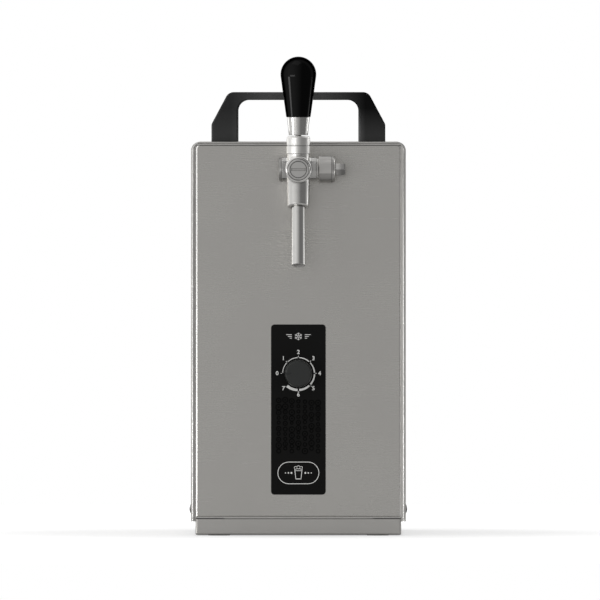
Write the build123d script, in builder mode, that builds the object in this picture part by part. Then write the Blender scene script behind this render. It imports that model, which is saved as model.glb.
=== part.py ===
from build123d import *
import os
from math import asin, cos, radians, sin, sqrt, tan

# Countertop draft beer dispenser with a built-in dry cooler, in millimetres.
# The origin is the middle of the surface it stands on, +X is the right-hand side
# seen from the front, the front faces -Y and +Z is up.

# Driving dimensions of the case
case_width = 173.0
case_depth = 280.0
case_height = 317.0
sheet = 1.2
jacket_bottom = 11.4
jacket_corner = 7.0
rim_width = 2.8
rim_top = 1.5
rim_depth = 4.0
rim_edge = 0.5
panel_gap = 0.8
panel_recess = 0.8
panel_return = 12.0
panel_tab = 60.0
bend_radius = 1.6
tray_height = 13.8
tray_clearance = 0.6
tray_corner = 1.6
tray_fold = 1.4
rail_height = 18.0
vent_rows = 13
vent_spacing = 8.0
vent_slot = 3.6
vent_length = 74.0
vent_height = 222.0
vent_depth = 68.0

# Clearances
seat_gap = 0.3
screw_clearance = 0.1
thread_clearance = 0.05
running_clearance = 0.08
moving_gap = 0.3

# Rubber feet
foot_radius = 9.0
foot_recess = 3.0
foot_inset = 19.0
foot_stem = 2.6
foot_bulb = 3.8
foot_bulb_height = 2.4
foot_bulb_taper = 25.0
foot_edge = 0.3

# Fasteners
screw_radius = 2.0
screw_length = 8.0
screw_head_radius = 4.0
screw_head_height = 1.2
jacket_screw_height = 21.5
jacket_screw_inset = 7.0
handle_screw_radius = 2.5
handle_screw_length = 16.0
handle_screw_head = 4.6
handle_screw_head_height = 3.0

# Carrying handles
handle_side_gap = 16.4
handle_height = 40.1
handle_bar = 6.4
handle_leg = 21.3
handle_shoulder = 14.2
handle_slope = 13.8
handle_thickness = 16.0
handle_top_round = 7.0
handle_side_round = 5.0
handle_grip_round = 8.8
handle_edge = 1.2
handle_inset = 42.0

# Control plate and thermostat
label_width = 44.0
label_height = 137.0
label_bottom = 33.0
label_thickness = 0.6
label_corner = 2.8
dial_height = 130.6
dial_radius = 11.2
dial_depth = 15.0
dial_draft = 3.0
dial_edge = 1.2
dial_recess_radius = 8.8
dial_recess_depth = 4.6
dial_shaft_radius = 3.0
dial_shaft_engagement = 8.0
dial_flat_offset = 1.5
dial_pointer_width = 1.0
dial_pointer_depth = 0.4
dial_pointer_length = 5.6
bushing_radius = 4.75
bushing_length = 5.4
dial_nut_size = 7.0
dial_nut_thickness = 2.4
thermostat_width = 44.0
thermostat_height = 34.0
thermostat_depth = 28.0
thermostat_corner = 2.0
thermostat_shaft_depth = 12.0
terminal_width = 6.3
terminal_thickness = 0.8
terminal_length = 9.0
terminal_spacing = 10.0
sensor_radius = 1.2
sensor_bulb_radius = 3.2
sensor_bulb_length = 58.8
sensor_pocket = 60.0
sensor_bend = 6.0

# Tap: rises above its own axis, lengths along the axes of its parts
tap_inset = 22.1
shank_radius = 7.0
shank_bore = 3.5
shank_flange_radius = 9.4
shank_flange = 2.2
shank_outside = 7.4
shank_inside = 34.0
lock_nut_size = 12.0
lock_nut_thickness = 6.0
coupling_radius = 9.4
coupling_length = 10.6
coupling_edge = 0.4
tail_radius = 4.6
tail_flange_radius = 6.7
tail_flange = 2.8
shank_seal_thickness = 0.8
barrel_radius = 9.75
barrel_left = 13.3
barrel_right = 14.5
barrel_bore = 7.0
column_offset = 24.0
boss_radius = 10.65
boss_reach = 14.0
boss_edge = 0.8
piston_radius = 6.25
neck_radius = 9.0
neck_bore = 5.3
neck_rise = 12.8
thread_radius = 7.4
thread_height = 3.3
pivot_rise = 13.1
ball_radius = 6.0
lever_rod_radius = 2.5
lever_forward = 18.0
collar_radius = 9.5
collar_rise = 26.8
collar_groove_rise = 19.2
collar_groove = 0.5
collar_groove_width = 0.9
collar_chamfer = 1.2
collar_throat = 4.45
nut_gap = 0.1
ferrule_bottom_radius = 7.65
ferrule_top_radius = 9.25
ferrule_rise = 42.2
grip_bottom_radius = 9.8
grip_radius = 14.4
grip_rise = 90.7
grip_edge = 0.3
tip_radius = 3.1
tip_pin_radius = 1.5
tip_drop = 11.5
lever_insert = 24.0
spout_tilt = 18.0
lower_top_radius = 9.3
lower_end_radius = 8.6
lower_length = 31.9
lower_edge = 0.8
spout_radius = 5.35
spout_bore = 4.35
spout_length = 80.9
spout_engagement = 12.0
spout_edge = 0.3
seat_radius = 4.0
seat_offset = 9.4
seat_thickness = 1.8
valve_radius = 5.2
valve_thickness = 2.0
valve_stem_radius = 2.2
washer_gap = 0.1
piston_front = 7.2
piston_rear = 4.8
ring_groove = 1.6
ring_section = 0.9
plug_radius = 8.3
plug_thickness = 1.4
plug_thread_radius = 7.4
plug_depth = 2.4
plug_slot = 2.0
plug_slot_length = 11.5
plug_ring_radius = 6.6
plug_ring_width = 0.6
plug_relief = 0.7
cap_rise = 2.8
cap_thread = 2.2
bonnet_radius = 9.0
bonnet_flange = 1.6
bonnet_thread = 4.0
adjuster_radius = 10.7
adjuster_length = 13.3
adjuster_shoulder = 2.8
spindle_radius = 2.5
cone_small = 3.4
cone_large = 5.0
cone_half_length = 7.6
spindle_left = 9.1
end_nut_size = 4.6
end_nut_length = 8.0
end_nut_round = 1.15
end_nut_thread = 4.8

# Refrigeration and dry cooler
compressor_radius = 54.0
compressor_rear_room = 71.0
compressor_plate = 3.0
compressor_lift = 12.0
condenser_gap = 22.5
compressor_round = 30.0
compressor_heel = 15.0
compressor_seam = 2.0
riser_gap = 7.0
seam_thickness = 4.0
seam_drop = 63.0
plate_length = 134.0
plate_depth = 80.0
grommet_radius = 8.0
grommet_bore = 3.0
insulation_width = 138.0
insulation_front_room = 40.0
shank_room = 43.1
insulation_wall = 15.0
insulation_rear_gap = 7.0
insulation_corner = 4.0
lid_thickness = 14.0
block_ledge = 22.0
block_ledge_width = 6.0
block_headroom = 39.0
coil_spacing = 12.0
coil_runs = 8
coil_overrun = 4.0
beer_coil_depth = 16.0
evaporator_depth = 16.0
beer_tube_radius = 4.0
evaporator_tube_radius = 3.0
tube_bend = 14.0
small_bend = 8.0
fan_size = 119.0
fan_depth = 25.4
fan_corner = 5.0
fan_headroom = 33.2
fan_opening = 56.0
fan_hole_spacing = 105.0
fan_hub_radius = 20.0
fan_blade_reach = 54.0
fan_blades = 7
fan_blade_angle = 32.0
fan_blade_chord = 22.0
fan_blade_thickness = 1.8
fan_blade_root = 4.0
fan_hub_depth = 17.0
fan_stator_depth = 4.0
fan_strut = 5.0
fan_shaft_radius = 2.0
grille_slot = 4.4
grille_spacing = 8.0
grille_rows = 13
condenser_turn_gap = 8.5
condenser_height = 122.0
condenser_thickness = 30.0
condenser_fan_gap = 17.6
fin_spacing = 5.0
condenser_fin = 0.8
condenser_runs = 8
tube_distance = 15.0
condenser_tube_radius = 3.0
condenser_stub = 6.0
bend_slack = 0.02
drier_radius = 9.0
drier_length = 70.0
drier_neck = 10.0
drier_round = 4.5
capillary_radius = 1.2
discharge_drop = 27.0
suction_drop = 43.0
stub_radius = 4.5
side_run_inset = 13.3
hot_joint_reach = 12.0
tight_bend = 7.0
fine_bend = 6.0

# Air pump and rear connections
pump_width = 60.0
pump_depth = 44.0
pump_height = 36.0
pump_foot = 4.0
pump_foot_inset = 7.0
pump_round = 5.0
pump_head_radius = 14.0
pump_head_height = 9.0
pump_sensor_gap = 0.8
pump_port_radius = 3.2
pump_port_length = 8.0
pump_port_rise = 26.0
hose_wall_gap = 6.0
hose_jog = 16.0
connection_gap = 8.0
beer_inlet_height = 95.0
air_outlet_height = 60.0
beer_hose_radius = 4.75
air_hose_radius = 3.0
fitting_wall = 2.9
fitting_hex = 4.5
fitting_hex_length = 6.0
fitting_barrel_length = 11.0
fitting_tail = 12.0
collet_wall = 1.1
collet_proud = 2.4
collet_flange = 1.2
collet_travel = 1.0
collet_length = 7.0
inlet_inset = 27.9
inlet_height = 48.0
inlet_flange_width = 31.0
inlet_flange_height = 25.0
inlet_flange = 2.5
inlet_corner = 2.0
inlet_body_width = 27.0
inlet_body_height = 20.0
inlet_body_depth = 21.0
inlet_socket_width = 23.6
inlet_socket_height = 16.6
inlet_socket_depth = 16.5
inlet_socket_chamfer = 4.0
pin_width = 4.0
pin_thickness = 2.0
pin_length = 11.5
pin_spacing = 7.0
pin_rise = 2.0
switch_height = 86.0
switch_width = 13.0
switch_length = 19.2
switch_flange = 1.6
switch_lip = 1.2
switch_corner = 1.0
switch_depth = 14.0
switch_wall = 1.4
rocker_tilt = 9.0
rocker_rise = 3.0
rocker_dip = 1.6
rocker_pin_radius = 1.4
rocker_end_gap = 0.6
rocker_edge = 1.0

# Case faces worked out from the driving dimensions
half_width = case_width / 2
half_depth = case_depth / 2
jacket_inner = half_width - sheet
panel_half = half_width - rim_width - panel_gap
panel_face = half_depth - panel_recess
panel_back = panel_face - sheet
panel_bottom = tray_height + panel_gap
panel_top = case_height - rim_top - seat_gap
tray_floor = tray_clearance + sheet
screw_side = half_depth - jacket_screw_inset

# Heights of the tap's parts, from the top of the case
tap_height = case_height - tap_inset
neck_top = tap_height + neck_rise
pivot_height = tap_height + pivot_rise
collar_top = tap_height + collar_rise
collar_groove_height = tap_height + collar_groove_rise
ferrule_top = tap_height + ferrule_rise
grip_top = tap_height + grip_rise

# Room of the compressor, the condenser, the cooler and the pump inside the case
lid_top = tap_height - shank_room
fan_height = panel_top - fan_headroom - fan_size / 2
compressor_top = fan_height - condenser_height / 2 - condenser_gap
suction_height = compressor_top - suction_drop
discharge_height = compressor_top - discharge_drop
seam_height = compressor_top - seam_drop
side_run = jacket_inner - side_run_inset
connection_side = compressor_radius + connection_gap
inlet_side = inlet_inset - panel_half
handle_width = case_width - 2 * handle_side_gap
compressor_centre = panel_back - compressor_rear_room
condenser_centre = panel_back - fan_depth - condenser_fan_gap - condenser_thickness / 2
insulation_rear = compressor_centre - compressor_radius - insulation_rear_gap
insulation_front = insulation_front_room - panel_back
insulation_depth = insulation_rear - insulation_front
insulation_middle = (insulation_front + insulation_rear) / 2
pump_centre = insulation_middle + sensor_radius + pump_sensor_gap + pump_depth / 2


def front_plane(y):
    """Drawing plane seen from the front, with X to the right and Z up, at depth y."""
    return Plane.XZ.offset(-y)


def arch(half, bottom, top, corner):
    """Upright face with square feet and rounded top corners."""
    with BuildSketch() as face:
        with BuildLine():
            FilletPolyline((-half, bottom), (-half, top), (half, top), (half, bottom), radius=corner)
            Line((half, bottom), (-half, bottom))
        make_face()
    return face.sketch


def screw(head_radius, head_height, radius, length):
    """Round-headed screw: the head rises above the XY plane and the shank hangs below it."""
    crown = (head_radius**2 + head_height**2) / (2 * head_height)
    with BuildPart() as fastener:
        with BuildSketch(Plane.XZ):
            with BuildLine():
                Line((0, -length), (radius, -length))
                Line((radius, -length), (radius, 0))
                Line((radius, 0), (head_radius, 0))
                RadiusArc((head_radius, 0), (0, head_height), -crown)
                Line((0, head_height), (0, -length))
            make_face()
        revolve(axis=Axis.Z)
    return fastener.part


def tube(route, bend, radius):
    """Round tube along straight runs joined by tangent arcs."""
    with BuildPart() as pipe:
        with BuildLine() as centre:
            FilletPolyline(*route, radius=bend)
        start = centre.line @ 0
        with BuildSketch(Plane(origin=start, z_dir=centre.line % 0)):
            Circle(radius)
        sweep(path=centre.line)
    return pipe.part


def serpentine(runs, pitch, low, high, depth):
    """Points of a flat coil of upright runs at one depth, entered and left at the top."""
    first = -pitch * (runs - 1) / 2
    points = []
    for run in range(runs):
        x = first + run * pitch
        ends = [(x, depth, high), (x, depth, low)]
        if run % 2:
            ends.reverse()
        points += ends
    return points


# Base tray
foot_side = panel_half - foot_inset
foot_depth = panel_face - foot_inset
with BuildPart() as base_tray:
    with BuildSketch(Plane.XY.offset(tray_clearance)):
        Rectangle(2 * panel_half, 2 * panel_face)
    extrude(amount=tray_height - tray_clearance)
    fillet(base_tray.edges().filter_by(Axis.Z), tray_corner)
    fillet(base_tray.faces().sort_by(Axis.Z)[0].edges(), tray_fold)
    offset(amount=-sheet, openings=base_tray.faces().sort_by(Axis.Z)[-1])
    with BuildSketch(Plane.XY.offset(tray_clearance)):
        with GridLocations(2 * foot_side, 2 * foot_depth, 2, 2):
            Circle(foot_radius + seat_gap + sheet)
    extrude(amount=foot_recess + sheet)
    with BuildSketch(Plane.XY.offset(tray_clearance)):
        with GridLocations(2 * foot_side, 2 * foot_depth, 2, 2):
            Circle(foot_radius + seat_gap)
    extrude(amount=foot_recess, mode=Mode.SUBTRACT)
    with BuildSketch(Plane.XY):
        with GridLocations(2 * foot_side, 2 * foot_depth, 2, 2):
            Circle(foot_stem + running_clearance)
    extrude(amount=tray_height, mode=Mode.SUBTRACT)

# Rubber feet, pushed through the tray from below
foot_top = tray_clearance + foot_recess
with BuildPart() as rubber_feet:
    with BuildSketch(Plane.XY):
        with GridLocations(2 * foot_side, 2 * foot_depth, 2, 2):
            Circle(foot_radius)
    extrude(amount=foot_top)
    chamfer(rubber_feet.faces().group_by(Axis.Z)[0].edges(), foot_edge)
    with BuildSketch(Plane.XY.offset(foot_top)):
        with GridLocations(2 * foot_side, 2 * foot_depth, 2, 2):
            Circle(foot_stem)
    extrude(amount=sheet)
    with BuildSketch(Plane.XY.offset(foot_top + sheet)):
        with GridLocations(2 * foot_side, 2 * foot_depth, 2, 2):
            Circle(foot_bulb)
    extrude(amount=foot_bulb_height, taper=foot_bulb_taper)

# Side rails between tray and jacket, tapped for the jacket's screws
rail_thickness = jacket_inner - panel_half
rail_reach = half_depth - rim_depth - seat_gap
with BuildPart() as side_rails:
    with BuildSketch(Plane.XY.offset(jacket_bottom)):
        with GridLocations(2 * panel_half + rail_thickness, 0, 2, 1):
            Rectangle(rail_thickness, 2 * rail_reach)
    extrude(amount=rail_height)
    with BuildSketch(Plane.YZ.offset(-half_width)):
        with Locations((0, jacket_screw_height)):
            with GridLocations(2 * screw_side, 0, 2, 1):
                Circle(screw_radius + thread_clearance)
    extrude(amount=case_width, mode=Mode.SUBTRACT)


def end_panel():
    """Folded panel that closes the front of the case, with a tab behind the tray's wall."""
    with BuildPart() as pan:
        with BuildSketch(front_plane(-panel_face)):
            add(arch(panel_half, panel_bottom, panel_top, jacket_corner - rim_width))
        extrude(amount=-panel_return)
        fillet(pan.faces().sort_by(Axis.Y)[0].edges(), bend_radius)
        offset(amount=-sheet, openings=pan.faces().sort_by(Axis.Y)[-1])
        with BuildSketch(Plane.XY.offset(tray_floor + bend_radius)):
            with Locations((0, -panel_back)):
                Rectangle(2 * panel_tab, sheet, align=(Align.CENTER, Align.MIN))
        extrude(amount=panel_bottom - tray_floor - bend_radius + sheet)
        with BuildSketch(Plane.YZ.offset(-half_width)):
            with Locations((-screw_side, jacket_screw_height)):
                Circle(screw_radius + screw_clearance)
        extrude(amount=case_width, mode=Mode.SUBTRACT)
    return pan.part


# Front panel
with BuildPart() as front_panel:
    add(end_panel())
    with BuildSketch(front_plane(-panel_face)):
        with Locations((0, dial_height)):
            Circle(bushing_radius + screw_clearance)
        with Locations((0, tap_height)):
            Circle(shank_radius + screw_clearance)
    extrude(amount=-panel_return, mode=Mode.SUBTRACT)

# Rear panel with the fan's grille and the cut-outs for the connections
fitting_radius = beer_hose_radius + fitting_wall
air_fitting_radius = air_hose_radius + fitting_wall
corner_screws = [(side * (panel_half - foot_inset / 2), z) for side in (-1, 1)
                 for z in (panel_bottom + foot_inset / 2, panel_top - foot_inset / 2)]
fan_screws = [(side * fan_hole_spacing / 2, fan_height + up * fan_hole_spacing / 2)
              for side in (-1, 1) for up in (-1, 1)]
with BuildPart() as rear_panel:
    add(mirror(end_panel(), about=Plane.XZ))
    with BuildSketch(front_plane(panel_face)):
        for row in range(grille_rows):
            rise = (row - (grille_rows - 1) / 2) * grille_spacing
            with Locations((0, fan_height + rise)):
                SlotOverall(2 * sqrt(fan_opening**2 - rise**2), grille_slot)
        with Locations((inlet_side, inlet_height)):
            Rectangle(inlet_body_width + 2 * screw_clearance, inlet_body_height + 2 * screw_clearance)
        with Locations((inlet_side, switch_height)):
            Rectangle(switch_width + 2 * screw_clearance, switch_length + 2 * screw_clearance)
        with Locations((connection_side, beer_inlet_height)):
            Circle(fitting_radius + screw_clearance)
        with Locations((connection_side, air_outlet_height)):
            Circle(air_fitting_radius + screw_clearance)
        with Locations(*corner_screws, *fan_screws):
            Circle(screw_radius + screw_clearance)
    extrude(amount=panel_return / 2, mode=Mode.SUBTRACT)

# Jacket over the top and both sides
vent_grid = (vent_depth, vent_height)
handle_places = (-(half_depth - handle_inset), half_depth - handle_inset)
handle_screw_side = (handle_width - handle_leg) / 2
with BuildPart() as jacket:
    with BuildSketch(front_plane(-half_depth)):
        add(arch(half_width, jacket_bottom, case_height, jacket_corner))
        add(arch(half_width - rim_width, jacket_bottom, case_height - rim_top, jacket_corner - rim_width),
            mode=Mode.SUBTRACT)
    extrude(amount=-case_depth)
    with BuildSketch(front_plane(rim_depth - half_depth)):
        add(arch(jacket_inner, jacket_bottom, case_height - sheet, jacket_corner - sheet))
    extrude(amount=2 * rim_depth - case_depth, mode=Mode.SUBTRACT)
    for end in (0, -1):
        rim = jacket.faces().sort_by(Axis.Y)[end]
        fillet(rim.edges().filter_by(lambda edge: abs(edge.center().Z - jacket_bottom) > rim_edge), rim_edge)
    with BuildSketch(Plane.YZ.offset(-half_width)):
        with Locations(vent_grid):
            with GridLocations(0, vent_spacing, 1, vent_rows):
                SlotOverall(vent_length, vent_slot)
        with Locations((0, jacket_screw_height)):
            with GridLocations(2 * screw_side, 0, 2, 1):
                Circle(screw_radius + screw_clearance)
    extrude(amount=case_width, mode=Mode.SUBTRACT)
    with BuildSketch(Plane.XY.offset(case_height - 2 * sheet)):
        with GridLocations(2 * handle_screw_side, 2 * handle_places[1], 2, 2):
            Circle(handle_screw_radius + screw_clearance)
    extrude(amount=3 * sheet, mode=Mode.SUBTRACT)

# Screws that hold the jacket to the side rails
with BuildPart() as jacket_screws:
    for side in (-1, 1):
        for end in (-1, 1):
            seat_point = (side * half_width, end * screw_side, jacket_screw_height)
            seat = Plane(origin=seat_point, z_dir=(side, 0, 0))
            with Locations(seat):
                add(screw(screw_head_radius, screw_head_height, screw_radius, screw_length))

# Screws that hold the rear panel's corners and the fan
with BuildPart() as rear_screws:
    for x, z in corner_screws + fan_screws:
        with Locations(Plane(origin=(x, panel_face, z), z_dir=(0, 1, 0))):
            add(screw(screw_head_radius, screw_head_height, screw_radius, screw_length))


def carrying_handle(y):
    """Moulded handle across the case with its middle at depth y."""
    middle = Plane(origin=(0, y, case_height), x_dir=(1, 0, 0), z_dir=(0, -1, 0))
    half = handle_width / 2
    opening = half - handle_leg
    with BuildPart() as handle:
        with BuildSketch(middle) as outline:
            with BuildLine():
                Polyline(
                    (-half, 0), (-half, handle_shoulder), (handle_slope - half, handle_height),
                    (half - handle_slope, handle_height), (half, handle_shoulder), (half, 0), close=True)
            make_face()
            fillet(outline.vertices().group_by(Axis.Y)[-1], handle_top_round)
            fillet(outline.vertices().group_by(Axis.Y)[1], handle_side_round)
            Rectangle(2 * opening, handle_height - handle_bar, align=(Align.CENTER, Align.MIN),
                      mode=Mode.SUBTRACT)
            grip_corners = outline.vertices().filter_by(
                lambda spot: abs(abs(spot.X) - opening) < running_clearance and spot.Y > handle_shoulder)
            fillet(grip_corners, handle_grip_round)
        extrude(amount=handle_thickness / 2, both=True)
        walls = handle.faces().filter_by(Axis.Y)
        rounded = walls.edges().filter_by(lambda edge: edge.center().Z > case_height + running_clearance)
        fillet(rounded, handle_edge)
        with BuildSketch(Plane.XY.offset(case_height)):
            with Locations((0, y)):
                with GridLocations(2 * handle_screw_side, 0, 2, 1):
                    Circle(handle_screw_radius + thread_clearance)
        extrude(amount=handle_screw_length, mode=Mode.SUBTRACT)
    return handle.part


# Front and rear handles
with BuildPart() as front_handle:
    add(carrying_handle(handle_places[0]))
with BuildPart() as rear_handle:
    add(carrying_handle(handle_places[1]))

# Screws that come up through the jacket into the handles
with BuildPart() as handle_screws:
    for y in handle_places:
        for side in (-1, 1):
            seat = Plane(origin=(side * handle_screw_side, y, case_height - sheet), z_dir=(0, 0, -1))
            with Locations(seat):
                add(screw(handle_screw_head, handle_screw_head_height, handle_screw_radius,
                          handle_screw_length))

# Control plate with the temperature scale
label_face = -panel_face - label_thickness
with BuildPart() as control_label:
    with BuildSketch(front_plane(-panel_face)):
        with Locations((0, label_bottom + label_height / 2)):
            RectangleRounded(label_width, label_height, label_corner)
        with Locations((0, dial_height)):
            Circle(bushing_radius + screw_clearance, mode=Mode.SUBTRACT)
    extrude(amount=label_thickness)

# Thermostat behind the front panel, with its bushing through panel and plate
bushing_end = -panel_back - bushing_length
thermostat_rear = -panel_back + thermostat_depth
with BuildPart() as thermostat_body:
    with BuildSketch(front_plane(-panel_back)):
        with Locations((0, dial_height)):
            RectangleRounded(thermostat_width, thermostat_height, thermostat_corner)
    extrude(amount=-thermostat_depth)
    with BuildSketch(front_plane(-panel_back)):
        with Locations((0, dial_height)):
            Circle(bushing_radius)
    extrude(amount=bushing_length)
    with BuildSketch(front_plane(bushing_end)):
        with Locations((0, dial_height)):
            Circle(dial_shaft_radius + running_clearance)
    extrude(amount=-bushing_length - thermostat_shaft_depth, mode=Mode.SUBTRACT)
    with BuildSketch(front_plane(thermostat_rear)):
        with Locations((0, dial_height)):
            with GridLocations(terminal_spacing, 0, 3, 1):
                Rectangle(terminal_thickness, terminal_width)
    extrude(amount=-terminal_length)

# Nut on the thermostat's bushing
with BuildPart() as thermostat_nut:
    with BuildSketch(front_plane(label_face)):
        with Locations((0, dial_height)):
            RegularPolygon(dial_nut_size, 6, major_radius=False)
            Circle(bushing_radius + thread_clearance, mode=Mode.SUBTRACT)
    extrude(amount=dial_nut_thickness)

# Shaft of the thermostat, with a flat that drives the knob
dial_back = label_face - moving_gap
shaft_end = dial_back - dial_recess_depth - dial_shaft_engagement
shaft_start = -panel_back + thermostat_shaft_depth - moving_gap
with BuildPart() as thermostat_shaft:
    with BuildSketch(front_plane(shaft_start)):
        with Locations((0, dial_height)):
            Circle(dial_shaft_radius)
    extrude(amount=shaft_start - shaft_end)
    with BuildSketch(front_plane(shaft_end)):
        with Locations((0, dial_height + dial_flat_offset)):
            Rectangle(2 * dial_shaft_radius, dial_shaft_radius, align=(Align.CENTER, Align.MIN))
    extrude(amount=-dial_shaft_engagement, mode=Mode.SUBTRACT)

# Thermostat knob
dial_front = dial_back - dial_depth
with BuildPart() as thermostat_knob:
    with BuildSketch(front_plane(dial_back)):
        with Locations((0, dial_height)):
            Circle(dial_radius)
    extrude(amount=dial_depth, taper=dial_draft)
    fillet(thermostat_knob.faces().sort_by(Axis.Y)[0].edges(), dial_edge)
    with BuildSketch(front_plane(dial_back)):
        with Locations((0, dial_height)):
            Circle(dial_recess_radius)
    extrude(amount=dial_recess_depth, mode=Mode.SUBTRACT)
    with BuildSketch(front_plane(dial_back)):
        with Locations((0, dial_height)):
            Circle(dial_shaft_radius + thread_clearance)
        with Locations((0, dial_height + dial_flat_offset + thread_clearance)):
            Rectangle(3 * dial_shaft_radius, 3 * dial_shaft_radius, align=(Align.CENTER, Align.MIN),
                      mode=Mode.SUBTRACT)
    extrude(amount=dial_recess_depth + dial_shaft_engagement + thread_clearance, mode=Mode.SUBTRACT)
    with BuildSketch(front_plane(dial_front)):
        with Locations((-dial_radius, dial_height)):
            Rectangle(dial_pointer_length, dial_pointer_width, align=(Align.MIN, Align.CENTER))
    extrude(amount=-dial_pointer_depth, mode=Mode.SUBTRACT)

# Tap depths, from the panel outwards
flange_face = -panel_face - shank_flange
shank_end = flange_face - shank_outside
coupling_back = flange_face - moving_gap
coupling_front = coupling_back - coupling_length
barrel_depth = coupling_front - moving_gap - barrel_radius
tap_depth = barrel_depth - column_offset
boss_front = tap_depth - boss_reach
pivot = (0, tap_depth, pivot_height)

# Shank that carries the tap through the front panel
with BuildPart() as tap_shank:
    with BuildSketch(front_plane(shank_end)):
        with Locations((0, tap_height)):
            Circle(shank_radius)
    extrude(amount=-(shank_outside + shank_flange + shank_inside))
    with BuildSketch(front_plane(flange_face)):
        with Locations((0, tap_height)):
            Circle(shank_flange_radius)
    extrude(amount=-shank_flange)
    with BuildSketch(front_plane(shank_end)):
        with Locations((0, tap_height)):
            Circle(shank_bore)
    extrude(amount=-(shank_outside + shank_flange + shank_inside), mode=Mode.SUBTRACT)
shank_rear = shank_end + shank_outside + shank_flange + shank_inside

# Lock nut behind the panel
with BuildPart() as shank_lock_nut:
    with BuildSketch(front_plane(-panel_back)):
        with Locations((0, tap_height)):
            RegularPolygon(lock_nut_size, 6, major_radius=False)
            Circle(shank_radius + thread_clearance, mode=Mode.SUBTRACT)
    extrude(amount=-lock_nut_thickness)

# Seal between the shank and the tap's tail
with BuildPart() as shank_seal:
    with BuildSketch(front_plane(shank_end)):
        with Locations((0, tap_height)):
            Circle(tail_flange_radius)
            Circle(shank_bore, mode=Mode.SUBTRACT)
    extrude(amount=shank_seal_thickness)
tail_back = shank_end - shank_seal_thickness

# Coupling nut that pulls the tail onto the shank
with BuildPart() as coupling_nut:
    with BuildSketch(front_plane(coupling_back)):
        with Locations((0, tap_height)):
            Circle(coupling_radius)
    extrude(amount=coupling_length)
    chamfer(coupling_nut.edges().filter_by(GeomType.CIRCLE), coupling_edge)
    with BuildSketch(front_plane(coupling_back)):
        with Locations((0, tap_height)):
            Circle(shank_radius + thread_clearance)
    extrude(amount=coupling_back - tail_back + tail_flange, mode=Mode.SUBTRACT)
    with BuildSketch(front_plane(coupling_back)):
        with Locations((0, tap_height)):
            Circle(tail_radius + thread_clearance)
    extrude(amount=coupling_length, mode=Mode.SUBTRACT)

# Tap body: cross barrel, boss, neck and tilted lower body in one casting
spout_plane = Plane(
    origin=(0, tap_depth, tap_height), x_dir=(1, 0, 0),
    z_dir=(0, -sin(radians(spout_tilt)), -cos(radians(spout_tilt))))
boss_bore = piston_radius + running_clearance
ball_seat = ball_radius + moving_gap
seat_front = tap_depth + seat_offset
with BuildPart() as tap_body:
    with BuildSketch(Plane.YZ.offset(-barrel_left)):
        with Locations((barrel_depth, tap_height)):
            Circle(barrel_radius)
    extrude(amount=barrel_left + barrel_right)
    with BuildSketch(front_plane(barrel_depth)):
        with Locations((0, tap_height)):
            Circle(boss_radius)
    extrude(amount=barrel_depth - boss_front)
    chamfer(tap_body.faces().sort_by(Axis.Y)[0].edges(), boss_edge)
    with BuildSketch(Plane.XY.offset(tap_height)):
        with Locations((0, tap_depth)):
            Circle(neck_radius)
    extrude(amount=neck_top - tap_height)
    with BuildSketch(Plane.XY.offset(neck_top)):
        with Locations((0, tap_depth)):
            Circle(thread_radius)
    extrude(amount=thread_height)
    with BuildSketch(spout_plane):
        Circle(lower_top_radius)
    with BuildSketch(spout_plane.offset(lower_length)):
        Circle(lower_end_radius)
    loft()
    lower_end = tap_body.faces().filter_by(GeomType.PLANE).sort_by(Axis.Z)[0]
    chamfer(lower_end.edges(), lower_edge)
    with BuildSketch(front_plane(barrel_depth)):
        with Locations((0, tap_height)):
            Circle(tail_radius)
    extrude(amount=-(tail_back - barrel_depth))
    with BuildSketch(front_plane(tail_back)):
        with Locations((0, tap_height)):
            Circle(tail_flange_radius)
    extrude(amount=tail_flange)
    # passages
    with BuildSketch(Plane.YZ.offset(-barrel_left)):
        with Locations((barrel_depth, tap_height)):
            Circle(barrel_bore)
    extrude(amount=barrel_left + barrel_right, mode=Mode.SUBTRACT)
    with BuildSketch(front_plane(barrel_depth)):
        with Locations((0, tap_height)):
            Circle(shank_bore)
    extrude(amount=-(tail_back - barrel_depth), mode=Mode.SUBTRACT)
    with BuildSketch(front_plane(barrel_depth)):
        with Locations((0, tap_height)):
            Circle(boss_bore)
    extrude(amount=barrel_depth - seat_front - seat_thickness, mode=Mode.SUBTRACT)
    with BuildSketch(front_plane(barrel_depth)):
        with Locations((0, tap_height)):
            Circle(seat_radius)
    extrude(amount=barrel_depth - seat_front, mode=Mode.SUBTRACT)
    with BuildSketch(front_plane(seat_front)):
        with Locations((0, tap_height)):
            Circle(boss_bore)
    extrude(amount=seat_front - boss_front, mode=Mode.SUBTRACT)
    with BuildSketch(front_plane(boss_front)):
        with Locations((0, tap_height)):
            Circle(plug_thread_radius + thread_clearance)
    extrude(amount=-plug_depth, mode=Mode.SUBTRACT)
    with BuildSketch(Plane.XY.offset(tap_height)):
        with Locations((0, tap_depth)):
            Circle(neck_bore)
    extrude(amount=pivot_height - tap_height, mode=Mode.SUBTRACT)
    with BuildSketch(Plane.XY.offset(pivot_height)):
        with Locations((0, tap_depth)):
            Circle(ball_seat)
    extrude(amount=neck_top + thread_height - pivot_height, mode=Mode.SUBTRACT)
    with Locations(pivot):
        Sphere(ball_seat, mode=Mode.SUBTRACT)
    with BuildSketch(spout_plane):
        Circle(spout_bore)
    extrude(amount=lower_length, mode=Mode.SUBTRACT)
    with BuildSketch(spout_plane.offset(lower_length - spout_engagement)):
        Circle(spout_radius + thread_clearance)
    extrude(amount=spout_engagement, mode=Mode.SUBTRACT)

# Spout tube pressed into the lower body
with BuildPart() as spout_tube:
    with BuildSketch(spout_plane.offset(lower_length - spout_engagement)):
        Circle(spout_radius)
        Circle(spout_bore, mode=Mode.SUBTRACT)
    extrude(amount=spout_length - lower_length + spout_engagement)
    rim = spout_tube.faces().filter_by(GeomType.PLANE).sort_by(Axis.Z)[0]
    fillet(rim.edges(), spout_edge)

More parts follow.
